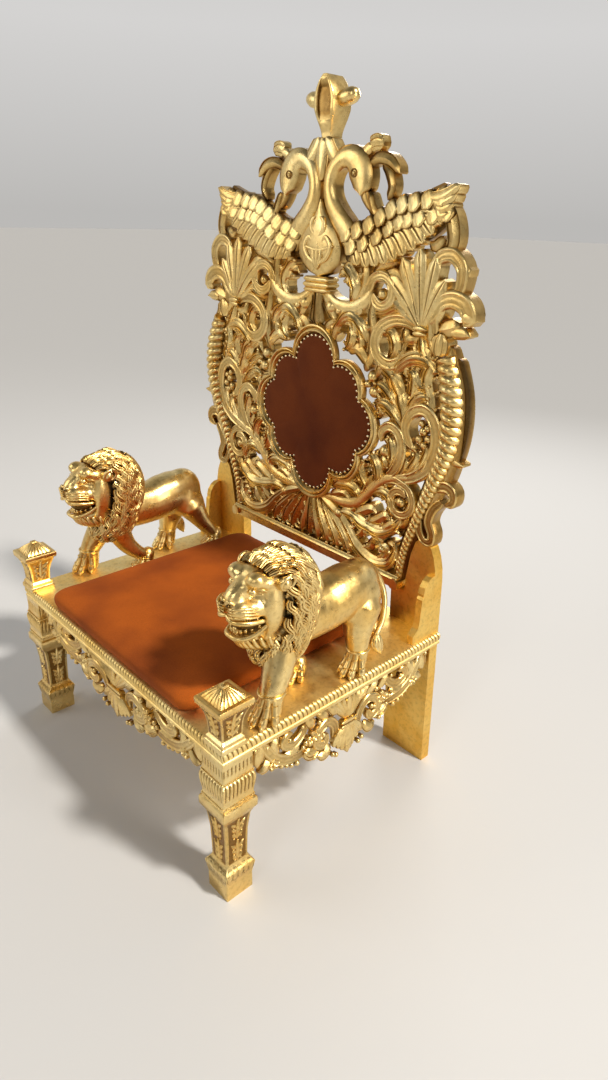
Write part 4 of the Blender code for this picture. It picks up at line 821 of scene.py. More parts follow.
def rope_columns(material):
    """Turned rope columns: slanting coils along the curved edges, on small foot blocks."""
    carving = Carving()
    path = smooth_path(ROPE, ROPE_GAP)
    spine = path[:, :2]
    ahead = unit(np.gradient(spine, axis=0))
    side = np.stack([ahead[:, 1], -ahead[:, 0]], 1)
    run = run_along(spine)
    pitch = 0.9 + 0.75 * np.interp(run, [0, run[-1]], [0, 1])
    phase = np.concatenate([[0], np.cumsum(np.diff(run) / ((pitch[1:] + pitch[:-1]) / 2))])
    phase = phase / phase[-1] * ROPE_TURNS
    turn = np.radians(np.linspace(-8, 188, 17))
    rows = len(path)
    half = path[:, 2][:, None]
    wave_at = phase[:, None] + ROPE_SLANT * np.cos(turn)[None, :]
    swell = np.abs(np.cos(math.pi * wave_at)) ** 0.55
    reach = half * (0.80 + 0.22 * swell)
    wide = reach * np.cos(turn)[None, :]
    deep = 1.25 * reach * np.sin(turn)[None, :] * CM
    x = spine[:, :1] + side[:, :1] * wide
    z = spine[:, 1:] + side[:, 1:] * wide
    front = on_panel(x, z, BOARD * 0.45 + deep)
    back = on_panel(x[:, [-1, 0]], z[:, [-1, 0]], np.full((rows, 2), BOARD * 0.2))
    # Painted shade in the grooves between the coils and on the back
    shade = np.concatenate([0.15 + 0.85 * swell, np.zeros((rows, 2))], 1)
    carving.add_rings(np.concatenate([front, back], 1), shade)
    board = Board(carving, on_panel, BOARD + 0.010)
    board.strip([(36.6, 0.1, 1.5), (36.7, 1.6, 1.5), (36.8, 3.2, 1.5)], (0, 0, 0), 1)
    carving.mirror()
    return carving.build("rope_columns", material)


def bottom_rail(carving):
    """The rail under the carving: a flat face with a moulded ledge along its top."""
    section = [(0.0, 0.0), (0.0, BOARD), (2.15, BOARD), (2.35, BOARD + 0.004), (2.8, BOARD + 0.0065),
               (3.3, BOARD + 0.004), (3.45, BOARD + 0.001), (3.8, BOARD - 0.002), (3.9, 0.0)]
    places = np.linspace(-RAIL_HALF, RAIL_HALF, 60)
    up, forward = zip(*section)
    rings = [on_panel(np.full(len(section), place), up, forward) for place in places]
    # Painted shade on the back edges and in the hollows beside the ledge
    shade = np.tile([0.2, 0.9, 0.9, 0.6, 1.0, 0.8, 0.5, 0.9, 0.2], (len(places), 1))
    carving.add_rings(rings, shade)


def scroll_back(material):
    """The pierced scrollwork, and the palmettes, outer boards and rail that frame it."""
    carving = Carving()
    board = Board(carving, on_panel, BOARD, SCROLL_GAP)
    lower_scrolls(board)
    middle_scrolls(board)
    upper_scrolls(board)
    carving.mirror()
    edging = Carving()
    board = Board(edging, on_panel, BOARD, EDGE_GAP)
    palmette(board)
    edge_board(board)
    edging.mirror()
    bottom_rail(edging)
    return carving.build("back_scrollwork", material), edging.build("back_edging", material)


def peacocks(material):
    """Necks, heads, beaks and crests, the leaves behind them, and the feathered wings."""
    carving = Carving()
    board = Board(carving, on_panel, BOARD, BIRD_GAP)
    board.strip([(13.4, 89.4, 3.6), (9.8, 94.2, 3.4), (6.0, 98.4, 2.9), (3.5, 102.4, 2.5),
                 (3.0, 106.6, 2.3), (4.8, 110.6, 2.4), (8.4, 112.6, 2.7), (11.8, 111.8, 3.5),
                 (14.0, 108.8, 4.1), (14.8, 105.4, 3.3), (14.9, 103.2, 1.6)], (-4, 3, -2), 12,
                columns=16)
    board.strip([(14.8, 106.0, 1.7), (15.6, 103.4, 1.6), (16.9, 101.2, 1.2), (18.4, 99.4, 0.8)],
                (-8, -9, -11), 7)
    eye_x, eye_z = 12.8, 108.6
    for depth in (BOARD + 0.0015, 0.0):
        turn = np.linspace(0, 2 * math.pi, 21)
        ring = on_panel(eye_x + 0.95 * np.cos(turn), eye_z + 0.95 * np.sin(turn), np.full(21, depth))
        tube(carving, ring, [0.0020] * 21, 8, caps=False)
        # The ring round the eye is painted dark as the shade of a cut groove
        carving.tone(0.15)
        ball(carving, on_panel(eye_x, eye_z, depth), (0.0045, 0.0030, 0.0045), 12)
    crest = Board(carving, on_panel, BOARD * 0.75)
    crest.strip([(13.0, 111.6, 1.2), (15.6, 114.0, 1.4), (17.6, 114.8, 1.2)], (0, 0, 0), 5)
    crest.leaf([(16.8, 115.0, 1.8), (19.0, 115.6, 1.9), (21.4, 115.2, 1.5)], 4, (0, 1, 0), rise=2.2,
               dome=2)
    board.leaf([(17.0, 110.8, 1.1), (20.4, 112.0, 1.4), (24.4, 111.2, 1.4), (27.6, 108.4, 0.9)], 2,
               (-8, -4, -4))
    board.leaf([(21.6, 111.0, 1.0), (24.0, 108.6, 1.3), (25.2, 105.2, 1.2), (23.8, 102.2, 1.0)], 2,
               (-9, -6, -8))
    board.leaf([(17.6, 104.0, 1.0), (18.8, 100.8, 1.3), (20.4, 98.0, 1.3)], 2, (-9, -6, -8))
    upper = smooth_path([(8.4, 95.6), (16.7, 97.7), (26.7, 102.6), (36.0, 104.2), (43.4, 105.4)], BIRD_GAP)
    lower = smooth_path([(9.4, 88.0), (16.7, 86.2), (24.3, 87.4), (31.5, 90.2), (38.0, 94.0),
                         (42.6, 99.0)], BIRD_GAP)

    def at(line, share):
        """The point at a share of a line."""
        place = share * (len(line) - 1)
        low = int(min(place, len(line) - 2))
        return line[low] + (line[low + 1] - line[low]) * (place - low)

    for share in (0.25, 0.5, 0.75):
        run = [(*(at(upper, s) * (1 - share) + at(lower, s) * share), 3.0) for s in np.linspace(0, 1, 6)]
        board.strip(run, (-18, -16, -18), 2)
    wing = Board(carving, on_panel, BOARD, WING_GAP)
    feathers = 11
    for k in range(feathers):
        share = k / (feathers - 1)
        start = at(upper, share * 0.82) * 0.64 + at(lower, share * 0.72) * 0.36
        tip = at(lower, min(1.0, share * 0.88 + 0.15))
        bow = (start + tip) / 2 + np.array([0.9, 0.9])
        wing.leaf([(*start, 1.5), (*bow, 2.0), (tip[0] + 0.6, tip[1] - 0.4, 1.8)], 2,
                  (-8, -3 + 0.1 * k, 1.5), kind="vein", rise=3.0, dome=6.0)
    for k in range(4):
        start = at(upper, 0.80 + 0.045 * k)
        wing.leaf([(start[0], start[1] - 1.6 - 0.5 * k, 1.2), (41.5, 102.8 - 1.3 * k, 1.5),
                   (46.6 - 0.7 * k, 105.4 - 2.0 * k, 0.9)], 2, (-4, 3, 2), rise=2.0, dome=4.5)
    scales = 9
    for row, drop, size in ((1, 4.6, 2.45), (0, 1.0, 2.45)):
        for k in range(scales):
            share = (k + 0.35 * row) / (scales - 1) * 0.90 + 0.01
            here = at(upper, share)
            ahead = unit(at(upper, min(1, share + 0.02)) - at(upper, max(0, share - 0.02)))
            down = np.array([ahead[1], -ahead[0]])
            top = here + down * (drop - 1.0)
            lean = ahead * 1.5
            wing.leaf([(*top, size * 0.85), (*(top + down * 1.7 + lean * 0.40), size),
                       (*(top + down * 3.4 + lean * 0.80), size * 0.92),
                       (*(top + down * 4.4 + lean), size * 0.42)], 3, (-7, 0, 5), kind="scale", rise=2.4,
                      dome=3.2, columns=18)
    carving.mirror()
    return carving.build("peacocks", material)


def vase(material):
    """The pointed vase between the necks, its ringed collar and the saddle on top."""
    carving = Carving()
    board = Board(carving, on_panel, BOARD + 0.002)
    outline = [(102.4, 0.5), (100.0, 1.5), (97.5, 3.2), (94.5, 5.8), (91.0, 8.0), (88.4, 8.4), (85.6, 7.4),
               (83.4, 5.0), (82.2, 3.6)]
    board.strip([(0, z, w) for z, w in outline], (-6, 4, -6), 11, columns=20)
    face = Board(carving, on_panel, BOARD + 0.0065, VASE_GAP)
    for side in (-1, 1):
        face.strip([(side * 0.4, 85.6, 0.5), (side * 3.6, 87.2, 0.75), (side * 5.2, 90.2, 0.8),
                    (side * 3.4, 92.6, 0.7), (side * 1.8, 91.2, 0.5)], (-1, 1, -1), 2.4)
        face.strip([(side * 0.6, 92.6, 0.5), (side * 2.4, 94.6, 0.7), (side * 2.2, 97.0, 0.6),
                    (side * 0.8, 97.8, 0.4)], (-1, 1, -1), 2.4)
        face.leaf([(side * 0.2, 84.4, 0.5), (side * 1.4, 87.4, 0.8), (side * 1.6, 90.0, 0.5)], 2,
                  (-1, 1, -1), rise=1.0, dome=2.0)
    face.leaf([(0, 84.0, 0.5), (0, 88.0, 0.9), (0, 92.2, 0.5)], 2, (-1, 1, -1), rise=1.0, dome=2.0)
    face.strip([(-6.4, 90.4, 0.45), (0, 89.2, 0.5), (6.4, 90.4, 0.45)], (-2, 0, -2), 2)
    for rise, half, wide in ((81.4, 4.9, 0.75), (79.9, 5.2, 0.8), (78.5, 4.8, 0.7)):
        board.strip([(-half, rise, wide), (0, rise, wide), (half, rise, wide)], (3, 6, 3), 5)
    board.strip([(-4.4, 80.6, 0.9), (4.4, 80.6, 0.9)], (-6, -4, -6), 2)
    for side in (-1, 1):
        board.leaf([(side * 7.2, 110.6, 1.3), (side * 4.4, 113.0, 1.9), (side * 2.2, 115.8, 2.0),
                    (side * 1.5, 117.6, 1.6)], 2, (-4, -1, -3), rise=2.0, dome=5)
    board.leaf([(0, 107.0, 0.8), (0, 110.5, 2.0), (0, 114.0, 2.4), (0, 117.3, 2.6)], 2, (-2, 2, -2),
               rise=2.0, dome=6)
    return carving.build("vase_and_saddle", material)


def medallion_outline(steps, share):
    """Eight round lobes between eight cusps, set in by a share of the reach."""
    cusps = []
    for turn in range(4):
        pair = (CUSP_UP, CUSP_OUT)
        if turn % 2:
            pair = ((CUSP_OUT[0], -CUSP_OUT[1]), (CUSP_UP[0], -CUSP_UP[1]))
        flip = 1 if turn < 2 else -1
        cusps += [(flip * x, flip * z) for x, z in pair]
    outline = []
    for i, (a, b) in enumerate(zip(cusps, cusps[1:] + cusps[:1])):
        middle = ((a[0] + b[0]) / 2, (a[1] + b[1]) / 2)
        half = math.dist(a, b) / 2
        out = (-(b[1] - a[1]) / half / 2, (b[0] - a[0]) / half / 2)
        bulge = DIAGONAL_BULGE if i % 2 == 0 else MEDALLION_REACH - math.hypot(*middle)
        radius = (half * half + bulge * bulge) / (2 * bulge)
        sweep = math.atan2(half, radius - bulge)
        for k in range(steps):
            turn = sweep * (2 * k / steps - 1)
            rise = radius * math.cos(turn) - radius + bulge
            run = radius * math.sin(turn)
            outline.append((middle[0] + out[0] * rise + out[1] * run,
                            middle[1] + out[1] * rise - out[0] * run))
    return np.array(outline) * share / CM


def medallion(gold, brass, cloth):
    """The lobed frame of two beads, the velvet pad inside it and the nails round the pad."""
    frame_carving = Carving()
    bed = BOARD - MEDALLION_SUNK
    section = [(0.0, 0.0), (0.0, 0.006), (0.04, 0.013), (0.14, 0.0175), (0.26, 0.018), (0.36, 0.0145),
               (0.44, 0.0125), (0.52, 0.0145), (0.62, 0.017), (0.74, 0.0165), (0.84, 0.0125),
               (0.92, 0.009), (1.0, 0.007), (1.0, 0.0)]
    # Painted shade at the frame's edges and in the hollow between its two beads
    shades = [0.1, 0.5, 0.9, 1.0, 1.0, 0.5, 0.1, 0.5, 1.0, 1.0, 0.5, 0.3, 0.1, 0.0]
    rings = []
    for inset, rise in section:
        line = medallion_outline(LOBE_STEPS, 1 - inset * FRAME_WIDTH / MEDALLION_REACH)
        rings.append(on_panel(line[:, 0], MEDALLION_RISE / CM + line[:, 1], bed + rise))
    frame_carving.add_rings(rings, np.repeat(np.array(shades)[:, None], len(rings[0]), 1), closed=True)
    frame_piece = frame_carving.build("medallion_frame_detail", gold)

    pad = Carving()
    inner = 1 - (FRAME_WIDTH + 0.0003) / MEDALLION_REACH
    rings = []
    for share, rise in ((1.0, 0.0), (1.0, 0.004), (0.985, 0.0082), (0.95, 0.0110), (0.88, 0.0135),
                        (0.78, 0.0160), (0.65, 0.0185), (0.5, 0.0203), (0.34, 0.0215), (0.18, 0.0222),
                        (0.05, 0.0225)):
        line = medallion_outline(LOBE_STEPS, inner * share)
        swell = 0.0008 * np.sin(line[:, 0] * 0.55 + 1.0) * np.sin(line[:, 1] * 0.48) * (1 - share)
        rings.append(on_panel(line[:, 0], MEDALLION_RISE / CM + line[:, 1], bed + rise + swell))
    pad.add_rings(rings)
    pad_piece = pad.build("medallion_velvet", cloth, SOFT_ANGLE)

    nails = Carving()
    line = medallion_outline(40, inner - 0.018)
    closed = np.vstack([line, line[:1]])
    run = run_along(closed)
    count = int(run[-1] * CM / NAIL_GAP)
    for x, z in read_at(closed, run, np.linspace(0, run[-1], count, endpoint=False)):
        ball(nails, on_panel(x, MEDALLION_RISE / CM + z, bed + 0.0098), (0.0044, 0.0034, 0.0044), 10)
    nail_piece = nails.build("medallion_nails", brass)
    return frame_piece, pad_piece, nail_piece


# The lions

# How far in from the deck's side a lion walks and where along the deck it starts, in metres
LION_PLACE = DECK_HALF - 0.080
LION_STARTS = {"left": 0.0, "right": -0.045}
LION_LIFT = 0.0004
LION_SHARP = 50
MANE_SEEDS = {1: 5, -1: 6}
MANE_ROWS = 12
MANE_TOP = 37.6
MANE_DROP = 2.1
# The mane's height, half width, half depth and middle along the lion, in centimetres
MANE_BANDS = ((39.4, 1.6, 2.0, 26.4), (38.4, 3.8, 4.2, 26.8), (36.2, 6.0, 5.8, 27.4), (33.0, 7.5, 6.9, 28.3),
              (29.0, 8.1, 7.4, 28.8), (25.0, 8.0, 7.5, 28.6), (21.0, 7.7, 7.3, 27.8), (17.5, 7.2, 6.8, 26.8),
              (14.5, 6.4, 6.2, 25.8), (12.4, 5.2, 5.2, 25.2), (11.2, 3.4, 3.6, 25.0))
LOCK_GROOVES = 3.0
# Each paw's place across and along, its height and its half width, in centimetres
PAWS = ((5.0, 20.2, 6.6, 2.55), (-3.4, 35.4, 3.6, 2.1), (4.7, 48.2, 5.9, 2.4), (-3.4, 61.8, 3.6, 2.1))
# A toe's reach as a share of the paw's width, its push forward, its height as a share and its radius
TOE = ((0.78, 0.0, 1.05, 0.72), (0.90, 0.5, 0.70, 0.80), (1.12, 1.2, 0.36, 0.92), (1.26, 2.0, 0.16, 0.95))
BODY_VOXEL = 0.0055


def mane_point(turn, rise, out=0.0):
    """A point of the mane at an angle round its upright middle line, in lion centimetres."""
    bands = np.array(MANE_BANDS)[::-1]
    wide = np.interp(rise, bands[:, 0], bands[:, 1]) + out
    deep = np.interp(rise, bands[:, 0], bands[:, 2]) + out
    middle = np.interp(rise, bands[:, 0], bands[:, 3])
    return np.stack([wide * np.cos(turn), middle + deep * np.sin(turn), rise + 0 * turn], -1)


def lock(carving, at, spine, outward, half, lift):
    """One grooved lock of hair along a line of points, raised off what it lies on."""
    rows, columns = len(spine), 12
    share = np.linspace(0, 1, rows)
    ahead = unit(np.gradient(spine, axis=0))
    side = unit(np.cross(ahead, outward))
    width = half * np.sin(math.pi * np.clip(0.16 + 0.80 * share, 0, 1)) ** 0.55
    v = np.linspace(-1, 1, columns + 1)
    comb = np.abs(np.sin(math.pi * LOCK_GROOVES * (v + 1) / 2)) ** 0.6
    bow = 1 - np.abs(v) ** 2.2
    raise_by = (-0.35 + lift * np.sin(math.pi * np.clip(share * 0.8 + 0.12, 0, 1)))[:, None]
    height = raise_by + 0.50 * bow + 0.34 * comb
    across = side[:, None] * (v[None, :, None] * width[:, None, None])
    top = spine[:, None] + across + outward[:, None] * height[..., None]
    under = spine[:, None] + across[:, [-1, 0]] - outward[:, None] * 0.9
    ring = np.concatenate([top, under], 1)
    # Painted shade in the comb grooves and at the lock's edges, and dark underneath
    shade = np.concatenate([np.tile(comb ** 1.6 * (0.35 + 0.65 * bow), (rows, 1)), np.zeros((rows, 2))], 1)
    carving.add_rings(at(ring[..., 0], ring[..., 1], ring[..., 2]), shade)


def side_lock(carving, at, start, stop, bend, half, lift):
    """A lock on the mane's flank between two places, each an angle and a height."""
    share = np.linspace(0, 1, 7)
    turn = start[0] + (stop[0] - start[0]) * share + bend * np.sin(math.pi * 1.7 * share)
    rise = start[1] + (stop[1] - start[1]) * share ** 0.9
    spine = mane_point(turn, rise)
    middle = np.stack([0 * turn, 0 * turn + 27.5, 5 + 0.8 * rise], -1)
    lock(carving, at, spine, unit(spine - middle), half, lift)


def mane(carving, at, rng):
    """Rows of locks: over the crown, round both flanks and the nape, and down the chest."""
    for row in range(MANE_ROWS):
        rise = MANE_TOP - MANE_DROP * row
        gap = float(np.interp(rise, [12, 17, 20, 23, 30, 38], [0.0, 0.25, 0.62, 0.90, 0.96, 1.10]))
        first = -math.pi / 2 + gap
        last = 1.5 * math.pi - gap
        reach = float(np.interp(rise, [12, 20, 30, 38], [5.0, 7.4, 7.8, 4.6]))
        count = max(6, int((last - first) * reach / 1.45))
        for k in range(count + 1):
            turn = first + (last - first) * (k + 0.5 * (row % 2)) / (count + 0.5)
            behind = math.sin(turn) > 0.2
            chest = rise < 19 and math.sin(turn) < -0.3
            sway = math.copysign(0.40, math.cos(turn)) * (0.15 if behind else -1.0)
            if chest:
                sway = 0.10 * math.copysign(1, math.cos(turn))
            weave = 0.16 if (k + row) % 2 else -0.16
            goal = turn - sway * (0.75 if rise > 24 else 0.30) + rng.normal(0, 0.05) + 0.4 * weave
            drop = (4.6 if rise > 17 else 3.2) * rng.uniform(0.85, 1.15)
            side_lock(carving, at, (turn, rise), (goal, max(11.4, rise - drop)),
                      weave * rng.uniform(0.4, 0.9), rng.uniform(0.95, 1.30), rng.uniform(0.10, 0.40))
    for row in range(4):
        for k in range(-4, 5):
            share = (k + 0.5 * (row % 2)) / 4
            lean = rng.normal(0, 0.25)
            y = 19.2 + 2.1 * row
            spine = smooth_path(
                [(share * 4.4, y + 1.2 * abs(share), 37.2 + 0.75 * row - 1.5 * share ** 2),
                 (share * 5.0 + lean, y + 1.9 + abs(share), 38.2 + 0.35 * row - 1.9 * share ** 2),
                 (share * 5.8 - lean, y + 4.6 + 0.8 * abs(share), 38.2 - 0.1 * row - 2.5 * share ** 2)], 0.6)
            outward = unit(spine - np.array([0, 25.5, 30.0]))
            lock(carving, at, spine, outward, 0.85, 0.25)


def lion_tube(carving, at, points, sides, flat=1.0, facing=(0, 1, 0)):
    """A limb through x, y, z and radius in lion centimetres."""
    line = [at(x, y, z) for x, y, z, radius in points]
    tube(carving, line, [radius * CM for x, y, z, radius in points], sides, flat, facing)


def lion_body(at):
    """The lion's smooth forms: trunk, legs, head, muzzle, jaw, brows, cheeks and tail root."""
    rough = Carving()

    def limb(points, flat=1.0, facing=(0, 1, 0), sides=16):
        lion_tube(rough, at, points, sides, flat, facing)

    def lump(x, y, z, wide, long, high):
        ball(rough, at(x, y, z), (wide * CM, long * CM, high * CM), 18)

    limb([(0, 24, 20, 5.8), (0, 31, 19.8, 6.3), (0, 39, 19.6, 6.3), (0, 46, 21.0, 6.6),
          (0, 52, 21.6, 5.8)], 1.06, (0, 0, 1), 22)
    lump(0, 51.5, 21.0, 5.8, 6.6, 7.2)
    for side in (1, -1):
        lump(side * 2.7, 51.2, 18.8, 4.0, 5.9, 6.4)
    limb([(0, 26.4, 37.0, 2.4), (0, 28.2, 32, 6.0), (0, 28.8, 24, 6.6), (0, 27.2, 17, 6.0),
          (0, 25.6, 13.4, 3.6)], 1.0, (1, 0, 0))
    lump(0, 22.6, 31.0, 5.2, 6.4, 6.2)
    lump(0, 20.0, 34.4, 3.6, 3.2, 2.6)
    for side in (1, -1):
        lump(side * 3.3, 17.9, 35.0, 2.3, 2.4, 1.9)
        lump(side * 4.6, 20.3, 34.2, 1.5, 2.3, 1.5)
        limb([(side * 4.7, 21.6, 34.0, 1.9), (side * 5.1, 21.4, 29.0, 2.6),
              (side * 4.6, 21.4, 24.0, 2.5), (side * 3.4, 20.8, 20.2, 1.6)], 0.62, (1, 0, 0))
        lump(side * 2.3, 14.7, 28.8, 2.35, 3.0, 2.15)
        lump(side * 3.3, 17.8, 28.4, 2.0, 2.4, 2.1)
    limb([(0, 19.8, 34.1, 2.2), (0, 16.6, 32.8, 2.1), (0, 13.8, 31.2, 1.75)], 1.3, (1, 0, 0))
    lump(0, 12.9, 30.5, 1.9, 1.1, 1.3)
    limb([(0, 22, 23.0, 3.0), (0, 18.6, 21.0, 2.3), (0, 15.4, 20.7, 1.6)], 1.45, (1, 0, 0))
    lump(0, 23.0, 20.5, 4.6, 4.2, 4.4)
    limb([(3.2, 25.0, 16, 4.1), (4.2, 22.6, 11, 3.6), (4.9, 20.6, 7.4, 3.05), (5.0, 20.2, 6.4, 2.9)])
    limb([(-3.0, 26.0, 15, 4.0), (-3.2, 28.8, 9, 2.9), (-3.4, 32.0, 5.4, 2.3), (-3.4, 34.0, 3.8, 2.1)])
    limb([(3.0, 50.8, 17, 5.2), (3.8, 48.8, 10.5, 3.7), (4.6, 48.3, 6.8, 2.8), (4.7, 48.2, 5.8, 2.65)])
    limb([(-3.0, 52.5, 16.5, 5.1), (-3.2, 56, 10.5, 3.2), (-3.4, 59.4, 5.8, 2.4),
          (-3.4, 60.8, 3.8, 2.1)])
    return rough


def remeshed(rough, name):
    """The union of rough shapes as one even, smoothed mesh."""
    rough_obj = rough.build(name + "_rough", bpy.data.materials["carved_gilding"])
    remesh = rough_obj.modifiers.new("remesh", "REMESH")
    remesh.mode = "VOXEL"
    remesh.voxel_size = BODY_VOXEL
    smooth = rough_obj.modifiers.new("smooth", "SMOOTH")
    smooth.factor = 0.5
    smooth.iterations = 4
    graph = bpy.context.evaluated_depsgraph_get()
    mesh = bpy.data.meshes.new_from_object(rough_obj.evaluated_get(graph))
    bpy.data.objects.remove(rough_obj)
    return mesh


def add_mesh(carving, mesh):
    """Adds a mesh's faces to a carving."""
    points = np.empty(len(mesh.vertices) * 3)
    mesh.vertices.foreach_get("co", points)
    carving.caps += [[v + carving.count for v in face.vertices] for face in mesh.polygons]
    carving.points.append(points.reshape(-1, 3))
    carving.shades.append(np.full(len(mesh.vertices), BODY_TONE))
    carving.count += len(mesh.vertices)


def paw(carving, at, x, y, high, wide):
    """Four grooved toes that flare from the ankle to the deck, with joint lines and claws."""
    heel = [(x, y + 0.4, high + 0.3, wide * 1.05), (x, y + 0.3, high * 0.5, wide * 0.95),
            (x, y, 1.4, wide * 0.95)]
    lion_tube(carving, at, heel, 16)
    for k in range(5):
        turn = math.radians(-90 + 37 * (k - 2))
        out, ahead = math.cos(turn), math.sin(turn)
        points = [(x + wide * share * out, y + wide * share * ahead - push * abs(ahead),
                   high * level + 0.1, size) for share, push, level, size in TOE]
        lion_tube(carving, at, points, 10)
        for px, py, pz, size in points[1:3]:
            ball(carving, at(px + 0.25 * out, py + 0.3 * ahead, pz + 0.2),
                 (size * CM * 1.02, size * CM, 0.0036), 10)
        px, py, pz, size = points[-1]
        ball(carving, at(px + 0.5 * out, py + 0.7 * ahead, 0.6), (0.0045, 0.0050, 0.0055), 8)


def dark_ball(carving, centre, radii, sides=12):
    """A ball in shadow colour, such as a nostril or the inside of the mouth."""
    ball(carving, centre, radii, sides)
    carving.tone(0)


def lion_face(carving, at):
    """Lips, whisker folds, teeth, nostrils, eyes, ears and the fringe under the jaw."""
    def limb(points, sides=8):
        lion_tube(carving, at, points, sides)

    for side in (1, -1):
        limb([(side * 0.2, 12.2, 27.4, 0.45), (side * 2.4, 12.3, 26.7, 0.6),
              (side * 4.3, 14.6, 26.3, 0.6), (side * 5.0, 18.2, 25.9, 0.5)], 10)
        limb([(side * 0.1, 13.2, 21.9, 0.6), (side * 2.1, 13.7, 21.9, 0.65),
              (side * 3.6, 16.4, 22.4, 0.65), (side * 4.7, 19.6, 24.4, 0.5)], 10)
        for k in range(4):
            drop = 0.72 * k
            limb([(side * 0.8, 12.1, 29.6 - drop, 0.16), (side * 2.6, 11.9 + 0.1 * k, 29.9 - drop, 0.34),
                  (side * 4.3, 14.2, 29.9 - drop, 0.36), (side * 5.0, 17.0, 29.4 - drop, 0.18)])
        limb([(side * 1.5, 16.0, 33.5, 0.3), (side * 2.6, 16.6, 33.6, 0.45),
              (side * 4.4, 18.2, 33.2, 0.4), (side * 5.0, 19.8, 32.4, 0.25)])
        ball(carving, at(side * 3.5, 16.6, 32.7), (0.0100, 0.0090, 0.0095), 14)
        limb([(side * 2.2, 16.9, 32.3, 0.25), (side * 3.4, 17.0, 31.9, 0.3),
              (side * 4.6, 18.4, 32.0, 0.22)])
        limb([(side * 0.5, 12.0, 30.9, 0.3), (side * 1.3, 12.1, 31.1, 0.42),
              (side * 1.9, 12.7, 30.5, 0.35), (side * 1.6, 12.4, 29.9, 0.25)])
        dark_ball(carving, at(side * 1.05, 11.85, 30.2), (0.0048, 0.0035, 0.0034))
        ear = np.linspace(0, 2 * math.pi, 17)
        ring = [at(side * (7.3 + 0.5 * math.sin(t)), 23.2 + 1.9 * math.cos(t), 34.2 + 1.6 * math.sin(t))
                for t in ear]
        tube(carving, ring, [0.0050] * len(ring), 8, caps=False)
        limb([(side * 5.6, 22.6, 33.4, 1.5), (side * 6.6, 23.0, 34.0, 1.6)], 12)
        dark_ball(carving, at(side * 7.0, 23.2, 34.2), (0.0065, 0.0165, 0.0135))
        for k in range(6):
            ball(carving, at(side * (0.4 + 0.72 * k), 13.1 + 0.17 * k * k, 25.7), (0.0038, 0.0036, 0.0070), 8)
            ball(carving, at(side * (0.4 + 0.64 * k), 13.9 + 0.17 * k * k, 22.9 + 0.04 * k * k),
                 (0.0036, 0.0034, 0.0066), 8)
        for k in range(7):
            x = side * (0.3 + 0.68 * k)
            limb([(x, 14.2 + 0.17 * k * k, 20.8, 0.45), (x, 15.6 + 0.15 * k * k, 18.9, 0.6),
                  (x * 0.9, 18.4 + 0.11 * k * k, 17.2, 0.3)])
    dark_ball(carving, at(0, 17.4, 24.6), (0.037, 0.036, 0.021), 20)
    limb([(0, 19.0, 23.6, 1.6), (0, 15.8, 23.3, 1.3), (0, 14.6, 23.2, 0.9)])


def lion(name, side, start, material):
    """A walking lion with combed mane, open jaws, grooved toes and a tufted tail."""
    def at(x, y, z):
        x, y, z = spread(x, y, z)
        return np.stack([side * (LION_PLACE + x * CM), FRONT_Y + start + y * CM,
                         DECK_TOP + LION_LIFT + z * CM], -1)

    carving = Carving()
    add_mesh(carving, remeshed(lion_body(at), name))
    mane(carving, at, np.random.default_rng(MANE_SEEDS[side]))
    lion_face(carving, at)
    for place in PAWS:
        paw(carving, at, *place)
    for x, y, z, r in ((4.95, 20.4, 7.0, 3.05), (4.65, 48.3, 6.3, 2.75)):
        turn = np.linspace(0, 2 * math.pi, 25)
        band = [at(x + r * math.cos(t), y + r * math.sin(t), z) for t in turn]
        tube(carving, band, [0.0034] * 25, 8, caps=False)
    tail = [(0.6, 56.6, 24.4, 1.0), (1.8, 58.6, 20.5, 0.85), (3.6, 58.6, 16.0, 0.8), (5.2, 56.4, 11.5, 0.75),
            (5.9, 53.6, 8.6, 0.75)]
    lion_tube(carving, at, tail, 12)
    for k in range(7):
        turn = 2 * math.pi * k / 7
        tuft = [(5.9, 53.8, 9.0, 0.5), (5.9 + 0.9 * math.cos(turn), 53.6 + 1.1 * math.sin(turn), 6.6, 0.75),
                (6.1 + 0.5 * math.cos(turn), 54.4 + 0.8 * math.sin(turn), 4.4, 0.6), (6.2, 55.4, 2.4, 0.2)]
        lion_tube(carving, at, tuft, 8)
    return carving.build(name + "_carving", material, LION_SHARP)


# Deck, posts, legs and aprons

# Lengths in metres: the slanting reeds of the deck's edge, the upright reeds of the legs' cornices,
# the cut off a square section's corner, the small beads and the carved boards on faces and aprons
REED_PITCH = 0.0125
REED_DEPTH = 0.0034
REED_SLANT = 26
REED_STEP = 0.0021
REED_WIDTH = 0.0104
CORNER_CUT = 0.0016
BEAD_PITCH = 0.0056
BEAD_RADIUS = 0.0025
FACE_DEPTH = 0.004
APRON_DEPTH = 0.0165
# The cosine and sine of the four quarter turns round a square piece
QUARTERS = [(math.cos(turn * math.pi / 2), math.sin(turn * math.pi / 2)) for turn in range(4)]


